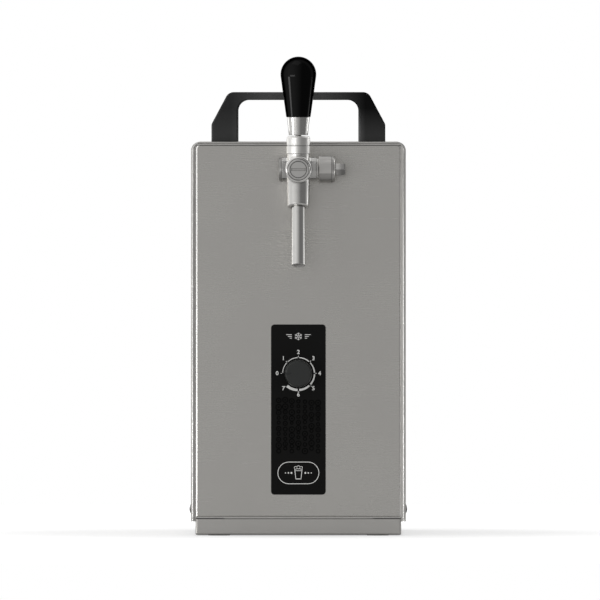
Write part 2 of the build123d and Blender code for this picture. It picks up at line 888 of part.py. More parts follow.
# Slotted plug that closes the boss
with BuildPart() as front_plug:
    with BuildSketch(front_plane(boss_front + plug_depth)):
        with Locations((0, tap_height)):
            Circle(plug_thread_radius)
    extrude(amount=plug_depth)
    with BuildSketch(front_plane(boss_front)):
        with Locations((0, tap_height)):
            Circle(plug_radius)
    extrude(amount=plug_thickness)
    chamfer(front_plug.faces().sort_by(Axis.Y)[0].edges(), plug_relief / 2)
    with BuildSketch(front_plane(boss_front - plug_thickness)):
        with Locations((0, tap_height)):
            Circle(plug_ring_radius + plug_ring_width / 2)
            Circle(plug_ring_radius - plug_ring_width / 2, mode=Mode.SUBTRACT)
            Rectangle(plug_slot_length, plug_slot)
    extrude(amount=-plug_relief, mode=Mode.SUBTRACT)

# Piston that opens and shuts the tap, with a pocket for the lever's tip
piston_nose = tap_depth - piston_front
piston_tail = tap_depth + piston_rear
valve_face = seat_front + seat_thickness + washer_gap
tip_height = pivot_height - tip_drop
pocket_radius = tip_radius + moving_gap
with BuildPart() as tap_piston:
    with BuildSketch(front_plane(piston_tail)):
        with Locations((0, tap_height)):
            Circle(piston_radius)
    extrude(amount=piston_tail - piston_nose)
    with BuildSketch(front_plane(valve_face + valve_thickness)):
        with Locations((0, tap_height)):
            Circle(valve_stem_radius)
    extrude(amount=valve_face + valve_thickness - piston_tail)
    with BuildSketch(front_plane(valve_face + valve_thickness)):
        with Locations((0, tap_height)):
            Circle(valve_radius)
    extrude(amount=valve_thickness / 2)
    with BuildSketch(Plane.XY.offset(tip_height - tip_radius - 2 * moving_gap)):
        with Locations((0, tap_depth)):
            Circle(pocket_radius)
    extrude(amount=3 * tip_radius + boss_bore, mode=Mode.SUBTRACT)
    with BuildSketch(front_plane(piston_nose + ring_groove)):
        with Locations((0, tap_height)):
            Circle(piston_radius)
            Circle(piston_radius - ring_section, mode=Mode.SUBTRACT)
    extrude(amount=ring_section, mode=Mode.SUBTRACT)

# Rubber ring on the piston and washer of the valve
with BuildPart() as piston_seals:
    with BuildSketch(front_plane(piston_nose + ring_groove)):
        with Locations((0, tap_height)):
            Circle(piston_radius)
            Circle(piston_radius - ring_section, mode=Mode.SUBTRACT)
    extrude(amount=ring_section)
    with BuildSketch(front_plane(valve_face + valve_thickness / 2)):
        with Locations((0, tap_height)):
            Circle(valve_radius)
            Circle(valve_stem_radius, mode=Mode.SUBTRACT)
    extrude(amount=valve_thickness / 2)

# Profiles turned about the lever's upright axis, with heights above the floor
lever_plane = Plane(origin=(0, tap_depth, 0), x_dir=(1, 0, 0), z_dir=(0, -1, 0))
lever_axis = Axis((0, tap_depth, 0), (0, 0, 1))
swing = radians(lever_forward)


def stem_room(rise):
    """Radius that the leaning stem sweeps at a height above the pivot, with a gap."""
    return rise * tan(swing) + lever_rod_radius / cos(swing) + moving_gap


def ball_level(radius):
    """Height above the pivot where the ball's seat has a radius."""
    return sqrt(ball_seat**2 - radius**2)


# Collar nut that keeps the ball in the neck
thread_seat = thread_radius + thread_clearance
nut_shoulder = neck_top + thread_height + nut_gap
throat_level = pivot_height + ball_level(collar_throat)
with BuildPart() as collar_nut:
    with BuildSketch(lever_plane):
        with BuildLine():
            Polyline(
                (thread_seat, neck_top), (collar_radius, neck_top),
                (collar_radius, collar_groove_height - collar_groove_width / 2),
                (collar_radius - collar_groove, collar_groove_height - collar_groove_width / 2),
                (collar_radius - collar_groove, collar_groove_height + collar_groove_width / 2),
                (collar_radius, collar_groove_height + collar_groove_width / 2),
                (collar_radius, collar_top - collar_chamfer), (collar_radius - collar_chamfer, collar_top),
                (stem_room(collar_top - pivot_height), collar_top), (collar_throat, throat_level))
            RadiusArc((collar_throat, throat_level),
                      (sqrt(ball_seat**2 - (nut_shoulder - pivot_height) ** 2), nut_shoulder), ball_seat)
            Polyline((sqrt(ball_seat**2 - (nut_shoulder - pivot_height) ** 2), nut_shoulder),
                     (thread_seat, nut_shoulder), (thread_seat, neck_top))
        make_face()
    revolve(axis=lever_axis)

# Lever stem: threaded rod, ball and tip in one piece
ferrule_sphere = sqrt((collar_radius - collar_chamfer) ** 2 + (collar_top - pivot_height) ** 2) + moving_gap
stem_top = ferrule_top + lever_insert
with BuildPart() as lever_stem:
    with BuildSketch(Plane.XY.offset(pivot_height)):
        with Locations((0, tap_depth)):
            Circle(lever_rod_radius)
    extrude(amount=stem_top - pivot_height)
    with BuildSketch(Plane.XY.offset(tip_height)):
        with Locations((0, tap_depth)):
            Circle(tip_pin_radius)
    extrude(amount=tip_drop)
    with Locations(pivot):
        Sphere(ball_radius)
    with Locations((0, tap_depth, tip_height)):
        Sphere(tip_radius)

# Ferrule: chromed cone whose hollow underside clears the collar as the lever leans
ferrule_low = pivot_height + sqrt(ferrule_sphere**2 - ferrule_bottom_radius**2)
rod_hole = lever_rod_radius + thread_clearance
ferrule_crown = pivot_height + sqrt(ferrule_sphere**2 - rod_hole**2)
with BuildPart() as lever_ferrule:
    with BuildSketch(lever_plane):
        with BuildLine():
            RadiusArc((rod_hole, ferrule_crown), (ferrule_bottom_radius, ferrule_low), ferrule_sphere)
            Polyline((ferrule_bottom_radius, ferrule_low), (ferrule_top_radius, ferrule_top),
                     (rod_hole, ferrule_top), (rod_hole, ferrule_crown))
        make_face()
    revolve(axis=lever_axis)

# Grip: a straight taper that runs tangent into a round head
grip_centre = grip_top - grip_radius
grip_span = sqrt(grip_bottom_radius**2 + (grip_centre - ferrule_top) ** 2)
grip_lean = asin(grip_radius / grip_span) - asin(grip_bottom_radius / grip_span)
tangent_point = (grip_radius * cos(grip_lean), grip_centre - grip_radius * sin(grip_lean))
with BuildPart() as lever_grip:
    with BuildSketch(lever_plane):
        with BuildLine():
            Line((0, ferrule_top), (grip_bottom_radius, ferrule_top))
            Line((grip_bottom_radius, ferrule_top), tangent_point)
            RadiusArc(tangent_point, (0, grip_top), -grip_radius)
            Line((0, grip_top), (0, ferrule_top))
        make_face()
    revolve(axis=lever_axis)
    fillet(lever_grip.faces().sort_by(Axis.Z)[0].edges(), grip_edge)
    with BuildSketch(Plane.XY.offset(ferrule_top)):
        with Locations((0, tap_depth)):
            Circle(rod_hole)
    extrude(amount=lever_insert + moving_gap, mode=Mode.SUBTRACT)

# Compensator: profiles turned about the cross barrel's axis
barrel_plane = Plane(origin=(0, barrel_depth, tap_height), x_dir=(1, 0, 0), z_dir=(0, -1, 0))
barrel_axis = Axis((0, barrel_depth, tap_height), (1, 0, 0))
spindle_hole = spindle_radius + running_clearance

# Domed cap on the barrel's left end
with BuildPart() as compensator_cap:
    with BuildSketch(barrel_plane):
        with BuildLine():
            Polyline((-barrel_left - cap_rise, 0), (cap_thread - barrel_left, 0),
                     (cap_thread - barrel_left, barrel_bore - thread_clearance),
                     (-barrel_left, barrel_bore - thread_clearance), (-barrel_left, barrel_radius))
            Spline((-barrel_left, barrel_radius), (-barrel_left - cap_rise, 0), tangents=((-1, 0), (0, -1)))
        make_face()
    revolve(axis=barrel_axis)

# Bonnet screwed into the barrel's right end
with BuildPart() as compensator_bonnet:
    with BuildSketch(barrel_plane):
        with BuildLine():
            Polyline(
                (barrel_right - bonnet_thread, spindle_hole),
                (barrel_right - bonnet_thread, barrel_bore - thread_clearance),
                (barrel_right, barrel_bore - thread_clearance), (barrel_right, bonnet_radius),
                (barrel_right + bonnet_flange, bonnet_radius), (barrel_right + bonnet_flange, spindle_hole),
                close=True)
        make_face()
    revolve(axis=barrel_axis)

# Knob that sets the flow
adjuster_start = barrel_right + bonnet_flange + moving_gap
adjuster_end = adjuster_start + adjuster_length
with BuildPart() as compensator_knob:
    with BuildSketch(Plane.YZ.offset(adjuster_start)):
        with Locations((barrel_depth, tap_height)):
            Circle(adjuster_radius)
    extrude(amount=adjuster_length)
    fillet(compensator_knob.faces().sort_by(Axis.X)[-1].edges(), adjuster_shoulder)
    chamfer(compensator_knob.faces().sort_by(Axis.X)[0].edges(), moving_gap)
    with BuildSketch(Plane.YZ.offset(adjuster_start)):
        with Locations((barrel_depth, tap_height)):
            Circle(spindle_radius + thread_clearance)
    extrude(amount=adjuster_length, mode=Mode.SUBTRACT)

# Spindle from the cone to the end nut
spindle_end = adjuster_end + end_nut_thread
with BuildPart() as compensator_spindle:
    with BuildSketch(Plane.YZ.offset(-spindle_left)):
        with Locations((barrel_depth, tap_height)):
            Circle(spindle_radius)
    extrude(amount=spindle_left + spindle_end)

# Cone that chokes the flow, threaded on the spindle
with BuildPart() as compensator_cone:
    with BuildSketch(barrel_plane):
        with BuildLine():
            Polyline((-cone_half_length, spindle_hole), (-cone_half_length, cone_small),
                     (cone_half_length, cone_large), (cone_half_length, spindle_hole), close=True)
        make_face()
    revolve(axis=barrel_axis)

# Domed end nut that holds the knob
with BuildPart() as compensator_end_nut:
    with BuildSketch(Plane.YZ.offset(adjuster_end)):
        with Locations((barrel_depth, tap_height)):
            RegularPolygon(end_nut_size, 6, major_radius=False)
    extrude(amount=end_nut_length)
    fillet(compensator_end_nut.faces().sort_by(Axis.X)[-1].edges(), end_nut_round)
    with BuildSketch(Plane.YZ.offset(adjuster_end)):
        with Locations((barrel_depth, tap_height)):
            Circle(spindle_radius + thread_clearance)
    extrude(amount=end_nut_thread + moving_gap, mode=Mode.SUBTRACT)

# Insulated dry cooler in the front half of the case
cavity_width = insulation_width - 2 * insulation_wall
cavity_depth = insulation_depth - 2 * insulation_wall
cavity_floor = tray_floor + insulation_wall
cavity_top = lid_top - lid_thickness
block_bottom = cavity_floor + block_ledge
block_top = cavity_top - block_headroom
with BuildPart() as insulation_shell:
    with BuildSketch(Plane.XY.offset(tray_floor)):
        with Locations((0, insulation_middle)):
            RectangleRounded(insulation_width, insulation_depth, insulation_corner)
    extrude(amount=cavity_top - tray_floor)
    with BuildSketch(Plane.XY.offset(block_bottom)):
        with Locations((0, insulation_middle)):
            Rectangle(cavity_width, cavity_depth)
    extrude(amount=cavity_top - block_bottom, mode=Mode.SUBTRACT)
    with BuildSketch(Plane.XY.offset(cavity_floor)):
        with Locations((0, insulation_middle)):
            Rectangle(cavity_width - 2 * block_ledge_width, cavity_depth)
    extrude(amount=block_ledge, mode=Mode.SUBTRACT)

# Aluminium block that the coils run through
beer_row = insulation_middle - beer_coil_depth
evaporator_row = insulation_middle + evaporator_depth
coil_bend = coil_spacing / 2
coil_reach = coil_spacing * (coil_runs - 1) / 2
block_clearance = 2 * moving_gap
with BuildPart() as cooling_block:
    with BuildSketch(Plane.XY.offset(block_bottom)):
        with Locations((0, insulation_middle)):
            Rectangle(cavity_width - block_clearance, cavity_depth - block_clearance)
        with Locations((0, beer_row)):
            with GridLocations(coil_spacing, 0, coil_runs, 1):
                Circle(beer_tube_radius + thread_clearance, mode=Mode.SUBTRACT)
        with Locations((0, evaporator_row)):
            with GridLocations(coil_spacing, 0, coil_runs, 1):
                Circle(evaporator_tube_radius + thread_clearance, mode=Mode.SUBTRACT)
    extrude(amount=block_top - block_bottom)
    with BuildSketch(Plane.XY.offset(block_top)):
        with Locations((0, insulation_middle)):
            Circle(sensor_bulb_radius + screw_clearance)
    extrude(amount=-sensor_pocket, mode=Mode.SUBTRACT)

# Lid of the insulation, with holes for the tubes
with BuildPart() as insulation_lid:
    with BuildSketch(Plane.XY.offset(cavity_top)):
        with Locations((0, insulation_middle)):
            RectangleRounded(insulation_width, insulation_depth, insulation_corner)
        with Locations((0, beer_row)):
            with GridLocations(2 * coil_reach, 0, 2, 1):
                Circle(beer_tube_radius + seat_gap, mode=Mode.SUBTRACT)
        with Locations((coil_reach, evaporator_row)):
            Circle(evaporator_tube_radius + seat_gap, mode=Mode.SUBTRACT)
        with Locations((-coil_reach, evaporator_row)):
            Circle(evaporator_tube_radius + seat_gap, mode=Mode.SUBTRACT)
        with Locations((0, insulation_middle)):
            Circle(sensor_radius + seat_gap, mode=Mode.SUBTRACT)
    extrude(amount=lid_thickness)

# Where the compressor's tube stubs end
stub_end = compressor_centre - sqrt(compressor_radius**2 - (coil_reach - stub_radius) ** 2)

# Depth of the upright tubes behind the insulation
riser_depth = insulation_rear + riser_gap

# Stainless beer coil: rear fitting, coil in the block, shank
fitting_inner_end = panel_back - fitting_tail
beer_level = lid_top + tube_bend
coil_low = block_bottom - coil_overrun - coil_bend
coil_high = block_top + coil_overrun + coil_bend
beer_points = serpentine(coil_runs, coil_spacing, coil_low, coil_high, beer_row)
beer_points[0] = (-coil_reach, beer_row, tap_height)
beer_points[-1] = (coil_reach, beer_row, beer_level)
beer_route = (
    [(0, shank_rear, tap_height), (0, beer_row, tap_height)] + beer_points
    + [(connection_side, beer_row, beer_level), (connection_side, riser_depth, beer_level),
       (connection_side, riser_depth, beer_inlet_height),
       (connection_side, fitting_inner_end, beer_inlet_height)])
beer_bends = (
    [tube_bend, tube_bend] + [coil_bend] * (2 * coil_runs - 2)
    + [small_bend, small_bend, tube_bend, small_bend])
with BuildPart() as beer_coil:
    add(tube(beer_route, beer_bends, beer_tube_radius))

# Copper evaporator coil, carried on to the compressor as its suction line
suction_level = lid_top + small_bend
evaporator_points = serpentine(coil_runs, coil_spacing, coil_low, coil_high, evaporator_row)
evaporator_points[0] = (-coil_reach, evaporator_row, lid_top)
evaporator_points[-1] = (coil_reach, evaporator_row, suction_level)
evaporator_route = evaporator_points + [
    (coil_reach, riser_depth, suction_level), (coil_reach, riser_depth, suction_height),
    (coil_reach, stub_end, suction_height)]
evaporator_bends = [coil_bend] * (2 * coil_runs - 2) + [small_bend, small_bend, small_bend]
with BuildPart() as evaporator_coil:
    add(tube(evaporator_route, evaporator_bends, evaporator_tube_radius))

# Sensor: thin tube from the thermostat into the block's pocket
sensor_level = lid_top + small_bend
bulb_top = block_top - seat_gap
sensor_exit = thermostat_rear - thermostat_depth / 2
with BuildPart() as sensor_bulb:
    add(tube(
        [(0, sensor_exit, dial_height + thermostat_height / 2),
         (0, sensor_exit, sensor_level), (0, insulation_middle, sensor_level),
         (0, insulation_middle, bulb_top)],
        sensor_bend, sensor_radius))
    with BuildSketch(Plane.XY.offset(bulb_top)):
        with Locations((0, insulation_middle)):
            Circle(sensor_bulb_radius)
    extrude(amount=-sensor_bulb_length)

# Hermetic compressor on its base plate
plate_bottom = compressor_lift
shell_bottom = plate_bottom + compressor_plate
with BuildPart() as compressor:
    with BuildSketch(Plane.XY.offset(shell_bottom)):
        with Locations((0, compressor_centre)):
            Circle(compressor_radius)
    extrude(amount=compressor_top - shell_bottom)
    fillet(compressor.faces().sort_by(Axis.Z)[-1].edges(), compressor_round)
    fillet(compressor.faces().sort_by(Axis.Z)[0].edges(), compressor_heel)
    with BuildSketch(Plane.XY.offset(seam_height)):
        with Locations((0, compressor_centre)):
            Circle(compressor_radius + compressor_seam)
    extrude(amount=seam_thickness)
    with BuildSketch(front_plane(compressor_centre - compressor_radius / 2)):
        with Locations((coil_reach, suction_height), (-coil_reach, discharge_height)):
            Circle(stub_radius)
    extrude(amount=compressor_centre - compressor_radius / 2 - stub_end)
    with BuildSketch(Plane.XY.offset(plate_bottom)):
        with Locations((0, compressor_centre)):
            RectangleRounded(plate_length, plate_depth, grommet_radius)
            with GridLocations(plate_length - 2 * grommet_radius, plate_depth - 2 * grommet_radius, 2, 2):
                Circle(grommet_bore + screw_clearance, mode=Mode.SUBTRACT)
    extrude(amount=compressor_plate)

# Rubber grommets under the compressor
with BuildPart() as compressor_grommets:
    with BuildSketch(Plane.XY.offset(tray_floor)):
        with Locations((0, compressor_centre)):
            with GridLocations(plate_length - 2 * grommet_radius, plate_depth - 2 * grommet_radius, 2, 2):
                Circle(grommet_radius)
    extrude(amount=plate_bottom - tray_floor)
    with BuildSketch(Plane.XY.offset(plate_bottom)):
        with Locations((0, compressor_centre)):
            with GridLocations(plate_length - 2 * grommet_radius, plate_depth - 2 * grommet_radius, 2, 2):
                Circle(grommet_bore)
    extrude(amount=compressor_plate + grommet_bore)

# Condenser tube: level runs through the fins
condenser_low = fan_height - tube_distance * (condenser_runs - 1) / 2
condenser_high = condenser_low + tube_distance * (condenser_runs - 1)
condenser_turn = side_run - condenser_turn_gap
condenser_width = 2 * (condenser_turn - condenser_stub) - tube_distance
condenser_bend = tube_distance / 2
drier_top = condenser_low - tube_bend
hot_joint = hot_joint_reach - side_run
condenser_route = [(-side_run, condenser_centre, drier_top), (-side_run, condenser_centre, condenser_low)]
for run in range(condenser_runs):
    level = condenser_low + run * tube_distance
    right_first = run % 2
    near = (-condenser_turn, condenser_centre, level)
    far = (condenser_turn, condenser_centre, level)
    condenser_route += [far, near] if right_first else [near, far]
del condenser_route[2]
condenser_route[-1] = (hot_joint, condenser_centre, condenser_high)
with BuildPart() as condenser_tube:
    add(tube(condenser_route, condenser_bend - bend_slack, condenser_tube_radius))

# Condenser fins on the tube
fin_count = round(condenser_width / fin_spacing)
with BuildPart() as condenser_fins:
    with BuildSketch(*[Plane.YZ.offset((i - (fin_count - 1) / 2) * fin_spacing - condenser_fin / 2)
                       for i in range(fin_count)]):
        with Locations((condenser_centre, fan_height)):
            Rectangle(condenser_thickness, condenser_height)
            with GridLocations(0, tube_distance, 1, condenser_runs):
                Circle(condenser_tube_radius + thread_clearance, mode=Mode.SUBTRACT)
    extrude(amount=condenser_fin)

# Discharge line from the compressor to the top of the condenser
with BuildPart() as discharge_tube:
    add(tube(
        [(-coil_reach, stub_end, discharge_height), (-coil_reach, riser_depth, discharge_height),
         (-coil_reach, riser_depth, condenser_high), (-side_run, riser_depth, condenser_high),
         (-side_run, condenser_centre, condenser_high), (hot_joint, condenser_centre, condenser_high)],
        tight_bend, condenser_tube_radius))

# Filter drier under the condenser's outlet
drier_bottom = drier_top - drier_length
with BuildPart() as filter_drier:
    with BuildSketch(Plane.XY.offset(drier_bottom + drier_neck)):
        with Locations((-side_run, condenser_centre)):
            Circle(drier_radius)
    extrude(amount=drier_length - 2 * drier_neck)
    fillet(filter_drier.edges().filter_by(GeomType.CIRCLE), drier_round)
    with BuildSketch(Plane.XY.offset(drier_bottom)):
        with Locations((-side_run, condenser_centre)):
            Circle(condenser_tube_radius)
    extrude(amount=drier_length)

# Capillary tube from the drier to the evaporator
with BuildPart() as capillary_tube:
    add(tube(
        [(-side_run, condenser_centre, drier_bottom), (-side_run, condenser_centre, drier_bottom - tube_bend),
         (-side_run, riser_depth, drier_bottom - tube_bend), (-side_run, riser_depth, suction_level),
         (-coil_reach, evaporator_row, suction_level), (-coil_reach, evaporator_row, lid_top)],
        fine_bend, capillary_radius))

# Axial fan: frame with the motor's fixed half
fan_back = panel_back
with BuildPart() as fan_frame:
    with BuildSketch(front_plane(fan_back)):
        with Locations((0, fan_height)):
            RectangleRounded(fan_size, fan_size, fan_corner)
            Circle(fan_opening, mode=Mode.SUBTRACT)
    extrude(amount=fan_depth)
    with BuildSketch(front_plane(fan_back)):
        with Locations((0, fan_height)):
            Circle(fan_hub_radius)
            with PolarLocations(0, 4, 45):
                Rectangle(2 * fan_opening + fan_strut, fan_strut)
    extrude(amount=fan_stator_depth)
    with BuildSketch(front_plane(fan_back)):
        with Locations(*fan_screws):
            Circle(screw_radius + thread_clearance)
        with Locations((0, fan_height)):
            Circle(fan_shaft_radius + running_clearance)
    extrude(amount=fan_depth, mode=Mode.SUBTRACT)

# Fan rotor: hub, shaft and blades
rotor_back = fan_back - fan_stator_depth - moving_gap
rotor_middle = rotor_back - fan_hub_depth / 2
blade_middle = (fan_hub_radius + fan_blade_reach) / 2
blade_length = fan_blade_reach - fan_hub_radius + 2 * fan_blade_root
with BuildPart() as fan_rotor:
    for blade in range(fan_blades):
        turn = 360 / fan_blades * blade
        with Locations(Location((0, rotor_middle, fan_height), (0, turn, 0))):
            with Locations(Location((blade_middle, 0, 0), (fan_blade_angle, 0, 0))):
                Box(blade_length, fan_blade_thickness, fan_blade_chord)
    with BuildSketch(front_plane(rotor_back)):
        with Locations((0, fan_height)):
            Circle(fan_blade_reach)
    extrude(amount=fan_hub_depth, mode=Mode.INTERSECT)
    with BuildSketch(front_plane(rotor_back)):
        with Locations((0, fan_height)):
            Circle(fan_hub_radius)
    extrude(amount=fan_hub_depth)
    with BuildSketch(front_plane(rotor_back)):
        with Locations((0, fan_height)):
            Circle(fan_shaft_radius)
    extrude(amount=-fan_stator_depth)

# Air pump on the insulation's lid
pump_bottom = lid_top
with BuildPart() as air_pump:
    with BuildSketch(Plane.XY.offset(pump_bottom + pump_foot)):
        with Locations((0, pump_centre)):
            RectangleRounded(pump_width, pump_depth, pump_round)
    extrude(amount=pump_height - pump_foot)
    with BuildSketch(Plane.XY.offset(pump_bottom)):
        with Locations((0, pump_centre)):
            with GridLocations(pump_width - 2 * pump_foot_inset, pump_depth - 2 * pump_foot_inset, 2, 2):
                Circle(pump_round)
    extrude(amount=pump_foot)
    with BuildSketch(Plane.XY.offset(pump_bottom + pump_height)):
        with Locations((0, pump_centre)):
            Circle(pump_head_radius)
    extrude(amount=pump_head_height)
    with BuildSketch(Plane.YZ.offset(pump_width / 2)):
        with Locations((pump_centre, pump_bottom + pump_port_rise)):
            Circle(pump_port_radius)
    extrude(amount=pump_port_length)

# Air hose from the pump to its outlet at the rear
hose_level = pump_bottom + pump_port_rise
hose_side = jacket_inner - air_hose_radius - hose_wall_gap
hose_depth = insulation_rear + tube_bend + small_bend
with BuildPart() as air_hose:
    add(tube(
        [(pump_width / 2 + pump_port_length, pump_centre, hose_level), (hose_side, pump_centre, hose_level),
         (hose_side, hose_depth, hose_level), (hose_side, hose_depth, air_outlet_height),
         (connection_side, hose_depth + hose_jog, air_outlet_height),
         (connection_side, fitting_inner_end, air_outlet_height)],
        fine_bend, air_hose_radius))

# Rear end of the push-in connections
mouth = panel_face + fitting_barrel_length


def push_fitting(height, hose_radius, body_radius):
    """Push-in connector through the rear panel for one hose."""
    with BuildPart() as fitting:
        with BuildSketch(front_plane(fitting_inner_end)):
            with Locations((connection_side, height)):
                Circle(body_radius)
        extrude(amount=-(fitting_tail + sheet + fitting_barrel_length))
        with BuildSketch(front_plane(panel_face)):
            with Locations((connection_side, height)):
                RegularPolygon(body_radius + fitting_hex, 6, major_radius=False)
        extrude(amount=-fitting_hex_length)
        with BuildSketch(front_plane(mouth)):
            with Locations((connection_side, height)):
                Circle(hose_radius + collet_wall + running_clearance)
        extrude(amount=collet_length + collet_travel, mode=Mode.SUBTRACT)
        with BuildSketch(front_plane(mouth)):
            with Locations((connection_side, height)):
                Circle(hose_radius + thread_clearance)
        extrude(amount=2 * collet_length + collet_travel, mode=Mode.SUBTRACT)
        with BuildSketch(front_plane(mouth)):
            with Locations((connection_side, height)):
                Circle(hose_radius / 2)
        extrude(amount=fitting_tail + sheet + fitting_barrel_length, mode=Mode.SUBTRACT)
    return fitting.part


def release_collet(height, hose_radius):
    """Ring that is pushed in to let the hose go."""
    with BuildPart() as collet:
        with BuildSketch(front_plane(mouth + collet_proud)):
            with Locations((connection_side, height)):
                Circle(hose_radius + collet_wall)
        extrude(amount=collet_length + collet_proud - moving_gap)
        with BuildSketch(front_plane(mouth + collet_proud)):
            with Locations((connection_side, height)):
                Circle(hose_radius + 2 * collet_wall)
        extrude(amount=collet_flange)
        with BuildSketch(front_plane(mouth + collet_proud)):
            with Locations((connection_side, height)):
                Circle(hose_radius + thread_clearance)
        extrude(amount=collet_length + collet_proud, mode=Mode.SUBTRACT)
    return collet.part


# Push-in connections for the beer and the air
with BuildPart() as beer_inlet_fitting:
    add(push_fitting(beer_inlet_height, beer_hose_radius, fitting_radius))
with BuildPart() as beer_inlet_collet:
    add(release_collet(beer_inlet_height, beer_hose_radius))
with BuildPart() as air_outlet_fitting:
    add(push_fitting(air_outlet_height, air_hose_radius, air_fitting_radius))
with BuildPart() as air_outlet_collet:
    add(release_collet(air_outlet_height, air_hose_radius))

# Mains inlet
inlet_face = panel_face + inlet_flange
with BuildPart() as power_inlet:
    with BuildSketch(front_plane(panel_face)):
        with Locations((inlet_side, inlet_height)):
            RectangleRounded(inlet_flange_width, inlet_flange_height, inlet_corner)
    extrude(amount=-inlet_flange)
    with BuildSketch(front_plane(panel_face)):
        with Locations((inlet_side, inlet_height)):
            Rectangle(inlet_body_width, inlet_body_height)
    extrude(amount=inlet_body_depth)
    with BuildSketch(front_plane(inlet_face)) as socket:
        with Locations((inlet_side, inlet_height)):
            Rectangle(inlet_socket_width, inlet_socket_height)
        chamfer(socket.vertices().group_by(Axis.Y)[-1], inlet_socket_chamfer)
    extrude(amount=inlet_socket_depth, mode=Mode.SUBTRACT)

# Pins of the mains inlet
pin_root = inlet_face - inlet_socket_depth
with BuildPart() as inlet_pins:
    with BuildSketch(front_plane(pin_root)):
        with Locations((inlet_side - pin_spacing, inlet_height - pin_rise),
                       (inlet_side + pin_spacing, inlet_height - pin_rise),
                       (inlet_side, inlet_height + pin_rise)):
            Rectangle(pin_thickness, pin_width)
    extrude(amount=-pin_length)

# Housing of the air pump's switch
rocker_axis_depth = panel_face - switch_flange / 2
with BuildPart() as switch_housing:
    with BuildSketch(front_plane(panel_face)):
        with Locations((inlet_side, switch_height)):
            RectangleRounded(switch_width + 2 * switch_lip, switch_length + 2 * switch_lip, switch_corner)
    extrude(amount=-switch_flange)
    with BuildSketch(front_plane(panel_face)):
        with Locations((inlet_side, switch_height)):
            Rectangle(switch_width, switch_length)
    extrude(amount=switch_depth)
    with BuildSketch(front_plane(panel_face + switch_flange)):
        with Locations((inlet_side, switch_height)):
            Rectangle(switch_width - 2 * switch_wall, switch_length - 2 * switch_wall)
    extrude(amount=switch_flange + switch_depth - switch_wall, mode=Mode.SUBTRACT)
    with BuildSketch(Plane.YZ.offset(inlet_side)):
        with Locations((rocker_axis_depth, switch_height)):
            Circle(rocker_pin_radius + running_clearance)
    extrude(amount=switch_width / 2 - switch_wall / 2, both=True, mode=Mode.SUBTRACT)

# Rocker of the switch, drawn level and tipped to its off position
rocker_half = switch_length / 2 - switch_wall - moving_gap
rocker_plane = Plane(origin=(inlet_side, rocker_axis_depth, switch_height),
                     x_dir=(0, cos(radians(rocker_tilt)), sin(radians(rocker_tilt))), z_dir=(1, 0, 0))
rocker_reach = panel_face + switch_flange + rocker_rise - rocker_axis_depth
rocker_round = rocker_half - rocker_end_gap
with BuildPart() as switch_rocker:
    with BuildSketch(rocker_plane):
        with BuildLine():
            Polyline((0, rocker_round), (rocker_reach - rocker_edge, rocker_round),
                     (rocker_reach - rocker_dip, 0), (rocker_reach - rocker_edge, -rocker_round),
                     (0, -rocker_round))
            ThreePointArc((0, -rocker_round), (-rocker_round, 0), (0, rocker_round))
        make_face()
    extrude(amount=switch_width / 2 - switch_wall - moving_gap, both=True)
    with BuildSketch(rocker_plane):
        Circle(rocker_pin_radius)
    extrude(amount=switch_width / 2 - switch_wall / 2 - running_clearance, both=True)

pieces = {
    "base_tray": base_tray, "rubber_feet": rubber_feet, "side_rails": side_rails,
    "front_panel": front_panel, "rear_panel": rear_panel, "jacket": jacket,
    "jacket_screws": jacket_screws, "rear_screws": rear_screws,
    "front_handle": front_handle, "rear_handle": rear_handle, "handle_screws": handle_screws,
    "control_label": control_label, "thermostat_body": thermostat_body,
    "thermostat_nut": thermostat_nut, "thermostat_shaft": thermostat_shaft,
    "thermostat_knob": thermostat_knob, "sensor_bulb": sensor_bulb,
    "tap_shank": tap_shank, "shank_lock_nut": shank_lock_nut, "shank_seal": shank_seal,
    "coupling_nut": coupling_nut, "tap_body": tap_body, "spout_tube": spout_tube,
    "front_plug": front_plug, "tap_piston": tap_piston, "piston_seals": piston_seals,
    "collar_nut": collar_nut, "lever_stem": lever_stem, "lever_ferrule": lever_ferrule,
    "lever_grip": lever_grip, "compensator_cap": compensator_cap,
    "compensator_bonnet": compensator_bonnet, "compensator_knob": compensator_knob,
    "compensator_spindle": compensator_spindle, "compensator_cone": compensator_cone,
    "compensator_end_nut": compensator_end_nut, "insulation_shell": insulation_shell,
    "insulation_lid": insulation_lid, "cooling_block": cooling_block, "beer_coil": beer_coil,
    "evaporator_coil": evaporator_coil, "compressor": compressor,
    "compressor_grommets": compressor_grommets, "condenser_tube": condenser_tube,
    "condenser_fins": condenser_fins, "discharge_tube": discharge_tube,
    "filter_drier": filter_drier, "capillary_tube": capillary_tube,
    "fan_frame": fan_frame, "fan_rotor": fan_rotor, "air_pump": air_pump, "air_hose": air_hose,
    "beer_inlet_fitting": beer_inlet_fitting, "beer_inlet_collet": beer_inlet_collet,
    "air_outlet_fitting": air_outlet_fitting, "air_outlet_collet": air_outlet_collet,
    "power_inlet": power_inlet, "inlet_pins": inlet_pins,
    "switch_housing": switch_housing, "switch_rocker": switch_rocker,
}
os.makedirs("parts", exist_ok=True)
for name, piece in pieces.items():
    piece.part.label = name
    export_step(piece.part, f"parts/{name}.step")
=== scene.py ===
"""Looks of a countertop draft beer dispenser, dressed over its CAD solids. All sizes are in metres."""
import logging
import math
import random
from dataclasses import dataclass, field, replace
from enum import Enum
from functools import cache
from typing import ClassVar, Optional, Sequence, Union

import bmesh
import bpy
from mathutils import Matrix, Vector


